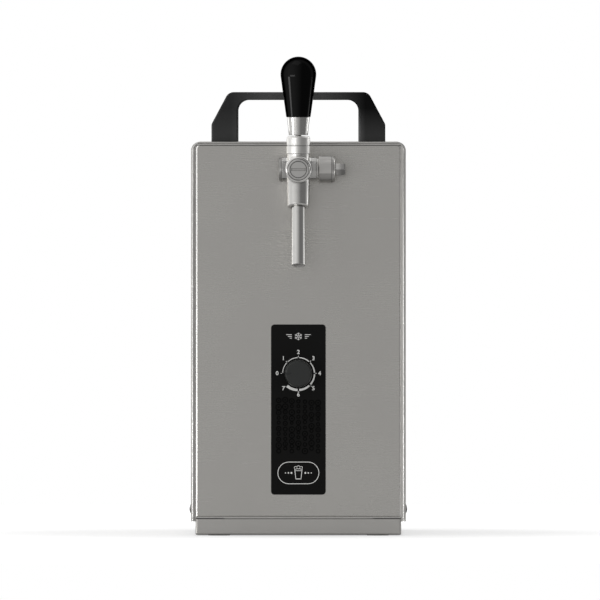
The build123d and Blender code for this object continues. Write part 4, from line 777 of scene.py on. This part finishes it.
# Painted shade: thin dark lines that stand for the shadows along the folds over and under the front panel.
FOLD_SHADE_PAINT = Ink("fold shade", (0.130, 0.127, 0.123), 0.5)


def link(piece: Piece) -> Piece:
    """Puts a new object in the scene and hands it back."""
    bpy.context.scene.collection.objects.link(piece)
    return piece


def add_piece(name: str, build: Build, finish: Finish, body: Body = Body.CASE, smooth: bool = False) -> None:
    """Turns built geometry into a finished piece that rides on a body.

    Args:
        name: name of the piece.
        build: its geometry in the row frame.
        finish: its surface.
        body: the body it moves with.
        smooth: shade its faces smoothly.
    """
    data = bpy.data.meshes.new(name)
    bmesh.ops.recalc_face_normals(build, faces=build.faces)
    build.to_mesh(data)
    build.free()
    for face in data.polygons:
        face.use_smooth = smooth
    piece = link(bpy.data.objects.new(name, data))
    finish.dress(piece)
    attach(piece, body.value)
    log.info("%s: %d faces on %s", name, len(data.polygons), body.value)


def polar(centre: Point2, radius: float, angle: float) -> Point2:
    """Point at a radius and an angle round a centre."""
    return centre[0] + radius * math.cos(angle), centre[1] + radius * math.sin(angle)


def arc(centre: Point2, radius: float, start: float, end: float, steps: int) -> list[Point2]:
    """Points along an arc, both ends included."""
    return [polar(centre, radius, start + (end - start) * step / steps) for step in range(steps + 1)]


def circle(centre: Point2, radius: float, sides: int) -> list[Point2]:
    """Corners of a circle of straight sides."""
    return arc(centre, radius, 0.0, 2 * math.pi, sides)[:-1]


def capsule(centre: Point2, half_width: float, half_height: float, steps: int = 12) -> list[Point2]:
    """Outline of a level capsule.

    Args:
        centre: its centre.
        half_width: half its width.
        half_height: half its height and the radius of its ends.
        steps: sides on each end.

    Returns:
        The outline's points, anticlockwise.
    """
    outline = []
    for side, start in ((1, -math.pi / 2), (-1, math.pi / 2)):
        end = (centre[0] + side * (half_width - half_height), centre[1])
        outline += arc(end, half_height, start, start + math.pi, steps)
    return outline


def loft(build: Build, rows: Sequence[Sequence[Point3]], capped: bool = False, joined: bool = False) -> None:
    """Joins closed rows of points with quads.

    Args:
        build: geometry that it is added to.
        rows: rows of as many points.
        capped: close the first and the last row with a face.
        joined: join the last row to the first.
    """
    loops = [[build.verts.new(point) for point in row] for row in rows]
    for first, second in zip(loops, loops[1:] + (loops[:1] if joined else [])):
        for here, corner in enumerate(first):
            after = (here + 1) % len(first)
            build.faces.new((corner, first[after], second[after], second[here]))
    if capped:
        build.faces.new(loops[0])
        build.faces.new(loops[-1][::-1])


@dataclass(frozen=True)
class Print:
    """Flat artwork on a surface that faces the front, drawn in its own x and z."""

    build: Build
    depth: float
    thickness: float = 0.00005

    def fill(self, outline: Line) -> None:
        """Adds a filled outline as a thin closed plate."""
        sides = (self.depth - self.thickness, self.depth)
        loft(self.build, [[(x, y, z) for x, z in outline] for y in sides], capped=True)

    def band(self, inner: Line, outer: Line, closed: bool) -> None:
        """Adds the strip between two lines of as many points.

        Args:
            inner: points of one side.
            outer: points of the other side.
            closed: join the last points to the first.
        """
        front = self.depth - self.thickness
        rows = [
            ((x_in, front, z_in), (x_out, front, z_out), (x_out, self.depth, z_out), (x_in, self.depth, z_in))
            for (x_in, z_in), (x_out, z_out) in zip(inner, outer)]
        loft(self.build, rows, capped=not closed, joined=closed)

    def strip(self, half: float, bottom: float, top: float) -> None:
        """Adds a level strip, as wide to the left as to the right."""
        self.fill([(-half, bottom), (half, bottom), (half, top), (-half, top)])

    def ring(self, centre: Point2, radius: float, width: float, sides: int = 20) -> None:
        """Adds a ring of a radius, measured at the middle of its line, and a line width."""
        self.band(circle(centre, radius - width / 2, sides), circle(centre, radius + width / 2, sides), True)

    def disc(self, centre: Point2, radius: float, sides: int) -> None:
        """Adds a filled circle."""
        self.fill(circle(centre, radius, sides))

    def stroke(self, start: Point2, end: Point2, width: float) -> None:
        """Adds a straight line.

        Args:
            start: its first end.
            end: its other end.
            width: its width.
        """
        first, last = Vector(start), Vector(end)
        along = (last - first).normalized()
        aside = Vector((-along.y, along.x)) * width / 2
        self.fill([tuple(corner) for corner in (first + aside, first - aside, last - aside, last + aside)])


Finishes = dict[Finish, tuple[str, ...]]


class Assembly:
    """Sub-assembly: CAD nodes with their finishes, and pieces that only the looks need."""

    finishes: ClassVar[Finishes] = {}

    def build(self) -> None:
        """Dresses the CAD nodes, then adds the visual pieces."""
        for finish, names in self.finishes.items():
            for name in names:
                finish.dress(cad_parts[name])
                log.info("%s: dressed in %s", name, finish.name)
        self.trim()

    def trim(self) -> None:
        """Adds the visual pieces; most sub-assemblies have none."""


@dataclass
class Case(Assembly):
    """Folded steel case: tray, panels, jacket and what holds them."""

    half_width: float = 0.0865
    half_depth: float = 0.140
    top: float = 0.317
    jacket_bottom: float = 0.0114
    corner: float = 0.0070
    corner_steps: int = 12
    rim_side: float = 0.0028
    rim_top: float = 0.0015
    rim_root: float = 0.0005
    ridge: tuple[Point2, ...] = (
        (0.0, 0.0), (0.22, 0.00022), (0.50, 0.00067), (0.60, 0.00067), (0.86, 0.00025), (1.0, 0.0))
    panel_half: float = 0.0829
    panel_top: float = 0.3152
    panel_bottom: float = 0.0146
    tray_top: float = 0.0138
    seam_overlap: float = 0.0002
    seam_depth: float = 0.0021
    seam_thickness: float = 0.0004
    low_seam_depth: float = 0.0012
    seam_end: float = 0.0042
    lip_width: float = 0.0007
    lip_thickness: float = 0.0001
    shade_width: float = 0.00055
    shade_drop: float = 0.0009
    shade_thickness: float = 0.00003
    screw_depth: float = 0.133
    screw_height: float = 0.0215
    dome: float = 0.00727
    cross_reach: float = 0.0019
    cross_width: float = 0.0007
    cross_turn: float = 0.4
    cross_steps: int = 4
    cross_proud: float = 0.00004
    cross_thickness: float = 0.0002
    finishes: ClassVar[Finishes] = {
        TRAY_STEEL: ("base_tray",), PANEL_STEEL: ("front_panel", "rear_panel"), JACKET_STEEL: ("jacket",),
        ZINC: ("side_rails", "rear_screws"), SCREW_STEEL: ("jacket_screws",), RUBBER: ("rubber_feet",)}

    def arch(self, half: float, top: float, corner: float) -> list[Point2]:
        """Line up the left side, round the top and down the right side.

        Args:
            half: half the width.
            top: height of the top.
            corner: radius of the corners.

        Returns:
            The line's points as x and z.
        """
        left = arc((corner - half, top - corner), corner, math.pi, math.pi / 2, self.corner_steps)
        right = arc((half - corner, top - corner), corner, math.pi / 2, 0.0, self.corner_steps)
        return [(-half, self.jacket_bottom), *left, *right, (half, self.jacket_bottom)]

    def rim_bead(self, name: str, end: int) -> None:
        """Adds the rolled bead on the jacket's rim.

        Args:
            name: name of the piece.
            end: -1 for the front, 1 for the rear.
        """
        side = self.rim_side
        outer = self.arch(self.half_width, self.top, self.corner)
        inner = self.arch(self.half_width - side, self.top - self.rim_top, self.corner - side)
        root = self.half_depth - self.rim_root
        build = bmesh.new()
        loft(build, [
            [(x + (x_in - x) * share, end * (root + rise), z + (z_in - z) * share)
             for share, rise in self.ridge]
            for (x, z), (x_in, z_in) in zip(outer, inner)], capped=True)
        add_piece(name, build, RIM_STEEL)

    def seams(self) -> None:
        """Adds the folded edge that shows in the gap round the front panel."""
        build = bmesh.new()
        lap = self.seam_overlap
        corner = self.corner - self.rim_side
        outer = self.arch(self.half_width - self.rim_side + lap, self.top - self.rim_top + lap, corner)
        inner = self.arch(self.panel_half - lap, self.panel_top - lap, corner - 3 * lap)
        Print(build, self.seam_depth - self.half_depth, self.seam_thickness).band(inner, outer, False)
        low = Print(build, self.low_seam_depth - self.half_depth, self.seam_thickness)
        low.strip(self.panel_half, self.panel_bottom - 2 * lap, self.panel_bottom + 2 * lap)
        lip = Print(build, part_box("front_panel")[0].y, self.lip_thickness)
        lip.strip(self.half_width - self.seam_end, self.panel_top - self.lip_width, self.panel_top)
        add_piece("panel_seams", build, SEAM_STEEL)

    def shades(self) -> None:
        """Adds thin dark lines along the folds over and under the front panel, painted shade for the shadow
        beside each fold.
        """
        build = bmesh.new()
        for name, top in (("front_panel", self.panel_top - self.shade_drop), ("base_tray", self.tray_top)):
            shade = Print(build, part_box(name)[0].y, self.shade_thickness)
            shade.strip(self.half_width - self.seam_end, top - self.shade_width, top)
        add_piece("fold_shades", build, FOLD_SHADE_PAINT)

    def slot(self, build: Build, centre: Vector, side: int, angle: float) -> None:
        """Adds one slot of a cross recess as a thin dark plate that follows the screw's domed head, painted
        shade for the hollow.

        Args:
            build: geometry that it is added to.
            centre: tip of the dome.
            side: -1 on the left of the case, 1 on the right.
            angle: the slot's turn.
        """
        out = Vector((side, 0, 0))
        along = Vector((0, math.cos(angle), math.sin(angle)))
        aside = along.cross(out) * self.cross_width / 2
        deep = out * self.cross_thickness
        rows = []
        for step in range(self.cross_steps + 1):
            reach = self.cross_reach * (2 * step / self.cross_steps - 1)
            sag = self.dome - math.sqrt(self.dome**2 - reach**2)
            spot = centre + along * reach - out * max(sag - self.cross_proud, 0.0)
            rows.append((spot + aside, spot - aside, spot - aside - deep, spot + aside - deep))
        loft(build, rows, capped=True)

    def recesses(self) -> None:
        """Adds the cross recesses, as painted shade, on the heads of the jacket's screws."""
        build = bmesh.new()
        low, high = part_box("jacket_screws")
        for side, face in ((-1, low.x), (1, high.x)):
            for end in (-1, 1):
                centre = Vector((face, end * self.screw_depth, self.screw_height))
                for turn in (0.0, math.pi / 2):
                    self.slot(build, centre, side, turn + self.cross_turn)
        add_piece("jacket_screw_recesses", build, RECESS_SHADE_PAINT)

    def trim(self) -> None:
        """Adds the rolled rims, seams, painted fold shade lines and painted screw recesses."""
        self.rim_bead("front_rim_bead", -1)
        self.rim_bead("rear_rim_bead", 1)
        self.seams()
        self.shades()
        self.recesses()


class CarryingHandles(Assembly):
    """Black moulded handles across the top, and their screws."""

    finishes = {HANDLE_BLACK: ("front_handle", "rear_handle"), ZINC: ("handle_screws",)}


@dataclass
class ControlPlate(Assembly):
    """Black plate with the temperature scale and plain artwork."""

    numbers: int = 8
    number_turn: float = 45.0
    dial_height: float = 0.1306
    scale_radius: float = 0.0124
    scale_steps: int = 12
    thin: float = 0.00055
    thick: float = 0.0023
    numeral_radius: float = 0.0171
    numeral_size: float = 0.0046
    numeral_proud: float = 0.00003
    numeral_bold: float = 0.00008
    numeral_depth: float = 0.00002
    numeral_steps: int = 3
    tick_reach: float = 0.0012
    tick_width: float = 0.00045
    gap_degrees: float = 5.5
    icon_height: float = 0.1604
    arms: int = 6
    arm_turn: float = 30.0
    arm_ends: Point2 = (0.0004, 0.0031)
    arm_width: float = 0.00042
    fork_at: float = 0.0018
    fork_reach: float = 0.0012
    fork_turn: float = 0.9
    fork_width: float = 0.00036
    dash_start: float = 0.0052
    dash_lengths: Point3 = (0.0046, 0.0032, 0.0018)
    dash_pitch: float = 0.0014
    dash_width: float = 0.00045
    badge_height: float = 0.0505
    badge_inner: Point2 = (0.0163, 0.0085)
    badge_outer: Point2 = (0.0168, 0.0090)
    glass: tuple[tuple[Point2, Point2, float], ...] = (
        ((-0.0021, -0.0048), (-0.0030, 0.0036), 0.0005), ((0.0021, -0.0048), (0.0030, 0.0036), 0.0005),
        ((-0.00235, -0.0048), (0.00235, -0.0048), 0.0006), ((-0.0027, 0.0018), (0.0027, 0.0018), 0.0004))
    foam: tuple[Point3, ...] = ((-0.0022, 0.0041, 0.0011), (0.0, 0.0045, 0.0013), (0.0022, 0.0041, 0.0011))
    foam_width: float = 0.0004
    dot_start: float = 0.0056
    dot_pitch: float = 0.0024
    dot_radii: Point3 = (0.00075, 0.00060, 0.00045)
    dot_sides: int = 16
    pattern_low: float = 0.0665
    pattern_high: float = 0.1115
    pattern_half: float = 0.0185
    pattern_columns: int = 7
    pattern_seed: int = 11
    pattern_thickness: float = 0.00003
    pattern_starts: Point2 = (0.3, 0.7)
    pattern_radii: Point2 = (0.20, 0.42)
    pattern_line: float = 0.16
    pattern_gaps: Point2 = (0.45, 0.62)
    pattern_filled: float = 0.3
    pattern_core: float = 0.35
    pattern_core_sides: int = 12
    finishes: ClassVar[Finishes] = {PLATE_BLACK: ("control_label",)}

    @property
    def face(self) -> float:
        """Depth of the plate's printed face."""
        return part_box("control_label")[0].y

    def spot(self, number: float, radius: float) -> Point2:
        """Point at a number and a radius round the dial; 0 is on the left and they run clockwise."""
        return polar((0.0, self.dial_height), radius, math.pi - math.radians(self.number_turn * number))

    def edge_at(self, number: float) -> float:
        """Outer radius at a number of the scale line, which grows in width."""
        return self.scale_radius + self.thin + (self.thick - self.thin) * (number / (self.numbers - 1)) ** 2

    def scale(self) -> None:
        """Adds the growing line with a break and a tick at each number."""
        ink = Print(bmesh.new(), self.face)
        gap = self.gap_degrees / (2 * self.number_turn)
        pitch = (1 - 2 * gap) / self.scale_steps
        for start in range(self.numbers - 1):
            steps = [start + gap + pitch * step for step in range(self.scale_steps + 1)]
            inner = [self.spot(number, self.scale_radius) for number in steps]
            ink.band(inner, [self.spot(number, self.edge_at(number)) for number in steps], False)
        for number in range(self.numbers):
            reach = self.edge_at(number)
            ink.stroke(self.spot(number, reach), self.spot(number, reach + self.tick_reach), self.tick_width)
        add_piece("scale_line", ink.build, WHITE_INK)

    def numerals(self) -> None:
        """Adds the numbers round the dial."""
        build = bmesh.new()
        for number in range(self.numbers):
            text = bpy.data.curves.new(f"numeral_{number}", "FONT")
            text.body = str(number)
            text.size = self.numeral_size
            text.align_x = text.align_y = "CENTER"
            text.extrude = self.numeral_proud
            text.offset = self.numeral_bold
            text.resolution_u = self.numeral_steps
            stand = link(bpy.data.objects.new(f"numeral_{number}", text))
            x, z = self.spot(number, self.numeral_radius)
            upright = Matrix.Rotation(math.pi / 2, 4, "X")
            stand.matrix_world = Matrix.Translation((x, self.face - self.numeral_depth, z)) @ upright
            bpy.context.view_layer.update()
            flat = bpy.data.meshes.new_from_object(stand.evaluated_get(bpy.context.evaluated_depsgraph_get()))
            flat.transform(stand.matrix_world)
            build.from_mesh(flat)
            bpy.data.objects.remove(stand)
            bpy.data.curves.remove(text)
            bpy.data.meshes.remove(flat)
        add_piece("scale_numerals", build, WHITE_INK)

    def snowflake(self) -> None:
        """Adds a plain cold sign between short lines at the top of the plate."""
        ink = Print(bmesh.new(), self.face)
        centre = (0.0, self.icon_height)
        for arm in range(self.arms):
            angle = math.radians(360 / self.arms * arm + self.arm_turn)
            root, tip = (polar(centre, reach, angle) for reach in self.arm_ends)
            ink.stroke(root, tip, self.arm_width)
            fork = polar(centre, self.fork_at, angle)
            for turn in (-self.fork_turn, self.fork_turn):
                ink.stroke(fork, polar(fork, self.fork_reach, angle + turn), self.fork_width)
        for side in (-1, 1):
            for step, length in enumerate(self.dash_lengths):
                level = self.icon_height + self.dash_pitch * (1 - step)
                end = (side * (self.dash_start + length), level)
                ink.stroke((side * self.dash_start, level), end, self.dash_width)
        add_piece("plate_cold_sign", ink.build, WHITE_INK)

    def badge(self) -> None:
        """Adds a capsule outline with a plain beer glass in it at the bottom of the plate."""
        ink = Print(bmesh.new(), self.face)
        middle = self.badge_height
        ink.band(capsule((0.0, middle), *self.badge_inner), capsule((0.0, middle), *self.badge_outer), True)
        for (x, rise), (x_end, rise_end), width in self.glass:
            ink.stroke((x, middle + rise), (x_end, middle + rise_end), width)
        for x, rise, radius in self.foam:
            ink.ring((x, middle + rise), radius, self.foam_width)
        for side in (-1, 1):
            for step, radius in enumerate(self.dot_radii):
                ink.disc((side * (self.dot_start + self.dot_pitch * step), middle), radius, self.dot_sides)
        add_piece("plate_glass_sign", ink.build, WHITE_INK)

    def pattern(self) -> None:
        """Adds dark bubbles in rising columns, tone on tone with the plate."""
        ink = Print(bmesh.new(), self.face, self.pattern_thickness)
        pick = random.Random(self.pattern_seed)
        pitch = 2 * self.pattern_half / self.pattern_columns
        for column in range(self.pattern_columns):
            x = -self.pattern_half + pitch * (column + 0.5)
            z = self.pattern_low + pitch * self.pattern_starts[column % 2]
            while z < self.pattern_high:
                radius = pitch * pick.uniform(*self.pattern_radii)
                if z + radius < self.pattern_high:
                    ink.ring((x, z), radius, pitch * self.pattern_line)
                    if radius > pitch * self.pattern_filled:
                        ink.disc((x, z), radius * self.pattern_core, self.pattern_core_sides)
                z += radius + pitch * pick.uniform(*self.pattern_gaps)
        add_piece("plate_bubbles", ink.build, DARK_INK)

    def trim(self) -> None:
        """Prints on the plate."""
        self.scale()
        self.numerals()
        self.snowflake()
        self.badge()
        self.pattern()


class Thermostat(Assembly):
    """Knob and what it turns behind the plate."""

    finishes = {
        DIAL_MOULDING: ("thermostat_knob",), GREY_PLASTIC: ("thermostat_body",), ZINC: ("thermostat_nut",),
        SATIN: ("thermostat_shaft",), COPPER: ("sensor_bulb",)}


@dataclass
class Tap(Assembly):
    """Chromed tap with its shank and nuts."""

    boss_front: float = -0.20035
    # Radius and height of the dark ring, painted shade in the gap round the plug.
    line: tuple[Point2, ...] = ((0.0083, 0.00006), (0.0087, 0.00006))
    shoulder: tuple[Point2, ...] = (
        (0.0087, 0.0), (0.0087, 0.00055), (0.0092, 0.00058), (0.0099, 0.00015), (0.01035, -0.00045))
    sides: int = 64
    finishes: ClassVar[Finishes] = {
        CAST_CHROME: ("tap_body",), PLUG_CHROME: ("front_plug",), COLLAR_CHROME: ("collar_nut",),
        CHROME: ("tap_shank", "shank_lock_nut", "coupling_nut"), SPOUT_CHROME: ("spout_tube",),
        RUBBER: ("shank_seal", "piston_seals"), SATIN: ("tap_piston",)}

    def turned(self, name: str, profile: Line, finish: Finish, smooth: bool) -> None:
        """Adds a small profile turned round the boss.

        Args:
            name: name of the piece.
            profile: points of radius and height over the boss's face.
            finish: its surface.
            smooth: shade it smoothly.
        """
        low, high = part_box("front_plug")
        centre = (low + high) / 2
        build = bmesh.new()
        loft(build, [
            [(x, self.boss_front - height, z) for x, z in circle((centre.x, centre.z), radius, self.sides)]
            for radius, height in profile])
        add_piece(name, build, finish, smooth=smooth)

    def trim(self) -> None:
        """Adds the boss's shoulder and a dark ring inside it, painted shade for the gap round the plug."""
        self.turned("boss_shoulder", self.shoulder, SHOULDER_CHROME, True)
        self.turned("boss_line", self.line, PAINTED_GROOVE_SHADE, False)


class Lever(Assembly):
    """Lever with its chromed ferrule and black grip."""

    finishes = {SATIN: ("lever_stem",), CHROME: ("lever_ferrule",), GRIP_BLACK: ("lever_grip",)}


@dataclass
class FlowAdjuster(Assembly):
    """Adjuster on the right of the tap."""

    shoulder: float = 0.0028
    line_width: float = 0.0004
    line_proud: float = 0.00004
    sides: int = 48
    finishes: ClassVar[Finishes] = {
        KNOB_STEEL: ("compensator_knob",), SATIN: ("compensator_spindle",), SHADED_CAP_STEEL: ("compensator_cap",),
        BONNET_CHROME: ("compensator_bonnet",), NUT_CHROME: ("compensator_end_nut",),
        GREY_PLASTIC: ("compensator_cone",)}

    def trim(self) -> None:
        """Adds a thin dark ring, painted shade for the groove where the knob's shoulder starts."""
        low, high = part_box("compensator_knob")
        centre = (low + high) / 2
        radius = (high.z - low.z) / 2
        start = high.x - self.shoulder - self.line_width
        inner, outer = radius - self.line_width, radius + self.line_proud
        build = bmesh.new()
        loft(build, [
            [(x, y, z) for y, z in circle((centre.y, centre.z), reach, self.sides)]
            for x, reach in ((start, inner), (start, outer), (start + self.line_width, outer),
                             (start + self.line_width, inner))], joined=True)
        add_piece("knob_shade_line", build, PAINTED_GROOVE_SHADE, Body.ADJUSTER)


class DryCooler(Assembly):
    """Insulated aluminium block with the beer and evaporator coils."""

    finishes = {
        FOAM: ("insulation_shell", "insulation_lid"), ALUMINIUM: ("cooling_block",),
        TUBE_STEEL: ("beer_coil",), COPPER: ("evaporator_coil",)}


class Refrigeration(Assembly):
    """Compressor, condenser, fan and the tubes between them."""

    finishes = {
        ENAMEL: ("compressor",), RUBBER: ("compressor_grommets",), FIN_ALUMINIUM: ("condenser_fins",),
        COPPER: ("condenser_tube", "discharge_tube", "filter_drier", "capillary_tube"),
        BLACK_MOULDING: ("fan_frame", "fan_rotor")}


class AirSupply(Assembly):
    """Small pump that pressurises the keg, with its hose."""

    finishes = {BLACK_MOULDING: ("air_pump",), RUBBER: ("air_hose",)}


class RearConnections(Assembly):
    """Hose connectors, mains inlet and pump switch."""

    finishes = {
        GREY_PLASTIC: ("beer_inlet_fitting", "air_outlet_fitting"),
        BLUE_RING: ("beer_inlet_collet", "air_outlet_collet"),
        BLACK_MOULDING: ("power_inlet", "switch_housing", "switch_rocker"), CONTACT: ("inlet_pins",)}


def aim(piece: Piece, place: Point3, target: Point3) -> None:
    """Puts a lamp or camera at a place and points it at a target.

    Args:
        piece: the lamp or camera.
        place: where it stands.
        target: the point that it looks at.
    """
    piece.location = place
    piece.rotation_mode = "QUATERNION"
    piece.rotation_quaternion = (Vector(target) - Vector(place)).to_track_quat("-Z", "Y")


@dataclass
class Lamp:
    """Soft rectangular lamp."""

    name: str
    place: Point3
    width: float
    height: float
    radiance: float
    target: Point3 = (0.0, -0.05, 0.19)

    def build(self) -> None:
        """Hangs the lamp and aims it."""
        data = bpy.data.lights.new(self.name, "AREA")
        data.shape = "RECTANGLE"
        data.size = self.width
        data.size_y = self.height
        data.energy = self.radiance * math.pi * self.width * self.height
        aim(link(bpy.data.objects.new(self.name, data)), self.place, self.target)


@dataclass
class Studio:
    """Pale floor, white surroundings, soft lamps and the camera."""

    pixels: int = 600
    metres_per_pixel: float = 0.000805
    middle_x: float = 0.0013
    middle_z: float = 0.1897
    distance: float = 20.0
    camera_height: float = 0.35
    reference_depth: float = -0.139
    sensor: float = 36.0
    clip: Point2 = (0.1, 200.0)
    diffuse_level: float = 0.78
    room_levels: Point2 = (0.92, 0.21)
    room_width: Point2 = (-0.60, 0.40)
    backdrop_start: Point2 = (-0.1, 0.5)
    floor_radius: float = 1.35
    floor_sides: int = 96
    floor_tints: tuple[Colour, Colour] = ((0.60, 0.60, 0.60), (0.62, 0.62, 0.62))
    floor_patches: Point3 = (3.0, 2.0, 0.5)
    floor_roughness: float = 0.9
    floor_specular: float = 0.1
    glow_levels: Point2 = (0.44, 0.65)
    glow_reach: Point2 = (0.20, 0.45)
    lamps: tuple[Lamp, ...] = (
        Lamp("left strip", (-1.65, -0.95, 0.60), 0.34, 1.40, 0.2),
        Lamp("low strip", (-1.65, -0.95, -0.11), 0.42, 0.28, 6.5),
        Lamp("low bar", (-1.10, -1.54, 0.16), 1.00, 0.24, 3.6),
        Lamp("low fill", (1.86, 0.38, -0.11), 0.36, 0.28, 6.0),
        Lamp("left rear softbox", (-1.40, 1.30, 0.75), 1.00, 1.40, 1.5),
        Lamp("right rear softbox", (1.60, 1.10, 0.75), 0.70, 1.40, 1.5),
        Lamp("top softbox", (-0.30, -0.40, 2.20), 1.30, 1.00, 0.5),
    )

    def surroundings(self) -> None:
        """White to the camera and behind the part; mirrors also see a dimmer room in front of it."""
        world = bpy.data.worlds.new("studio")
        bpy.context.scene.world = world
        world.use_nodes = True
        graph = Graph(world.node_tree)
        path = graph.add("LightPath")
        heading = graph.axes(graph.add("TexCoord").outputs["Generated"])
        room = graph.spread(heading["X"], *self.room_levels, *self.room_width)
        backdrop = graph.spread(heading["Y"], 0.0, 1.0, *self.backdrop_start)
        level = graph.spread(graph.mirrors(path), self.diffuse_level, graph.spread(backdrop, room, 1.0))
        strength = graph.spread(path.outputs["Is Camera Ray"], level, 1.0)
        graph.wire(world.node_tree.nodes["Background"].inputs, Color=WHITE, Strength=strength)

    def floor_paint(self) -> bpy.types.Material:
        """Makes the pale floor's material, which glows more the farther out it is.

        Returns:
            The material.
        """
        paint = bpy.data.materials.new("studio floor")
        paint.use_nodes = True
        graph = Graph(paint.node_tree)
        surface = paint.node_tree.nodes["Principled BSDF"].inputs
        patches = graph.noise(graph.place(), *self.floor_patches)
        reach = graph.vector("LENGTH", graph.place())["Value"]
        glow = graph.spread(reach, *self.glow_levels, *self.glow_reach)
        behind = graph.spread(graph.axes(graph.place())["Y"], 0.0, 1.0, *self.backdrop_start)
        path = graph.add("LightPath")
        mirrored = graph.math("MULTIPLY", graph.mirrors(path), behind)
        seen = graph.math("MAXIMUM", path.outputs["Is Camera Ray"], mirrored)
        graph.wire(
            surface, Roughness=self.floor_roughness, Specular_IOR_Level=self.floor_specular,
            Base_Color=graph.blend(patches, *self.floor_tints), Emission_Color=WHITE,
            Emission_Strength=graph.math("MULTIPLY", seen, glow))
        return paint

    def floor(self) -> None:
        """Lays the pale floor."""
        build = bmesh.new()
        bmesh.ops.create_circle(build, cap_ends=True, segments=self.floor_sides, radius=self.floor_radius)
        data = bpy.data.meshes.new("floor")
        build.to_mesh(data)
        build.free()
        data.materials.append(self.floor_paint())
        piece = link(bpy.data.objects.new("floor", data))

    def camera(self) -> None:
        """Places the camera at the photograph's angle."""
        data = bpy.data.cameras.new("camera")
        data.sensor_width = self.sensor
        data.lens = self.sensor * self.distance / (self.pixels * self.metres_per_pixel)
        data.clip_start, data.clip_end = self.clip
        camera = link(bpy.data.objects.new("camera", data))
        place = (self.middle_x, self.reference_depth - self.distance, self.camera_height)
        aim(camera, place, (self.middle_x, self.reference_depth, self.middle_z))
        bpy.context.scene.camera = camera

    def build(self) -> None:
        """Sets the studio up."""
        bpy.context.scene.view_settings.view_transform = "Standard"
        self.surroundings()
        self.floor()
        for lamp in self.lamps:
            lamp.build()
        self.camera()


def main() -> None:
    """Builds every sub-assembly in order, then sets up the studio."""
    logging.basicConfig(level=logging.INFO, format="%(message)s")
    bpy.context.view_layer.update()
    assemblies = (
        Case(), CarryingHandles(), ControlPlate(), Thermostat(), Tap(), Lever(), FlowAdjuster(), DryCooler(),
        Refrigeration(), AirSupply(), RearConnections())
    for assembly in assemblies:
        log.info("%s", type(assembly).__name__)
        assembly.build()
    Studio().build()


if __name__ == "__main__":
    main()
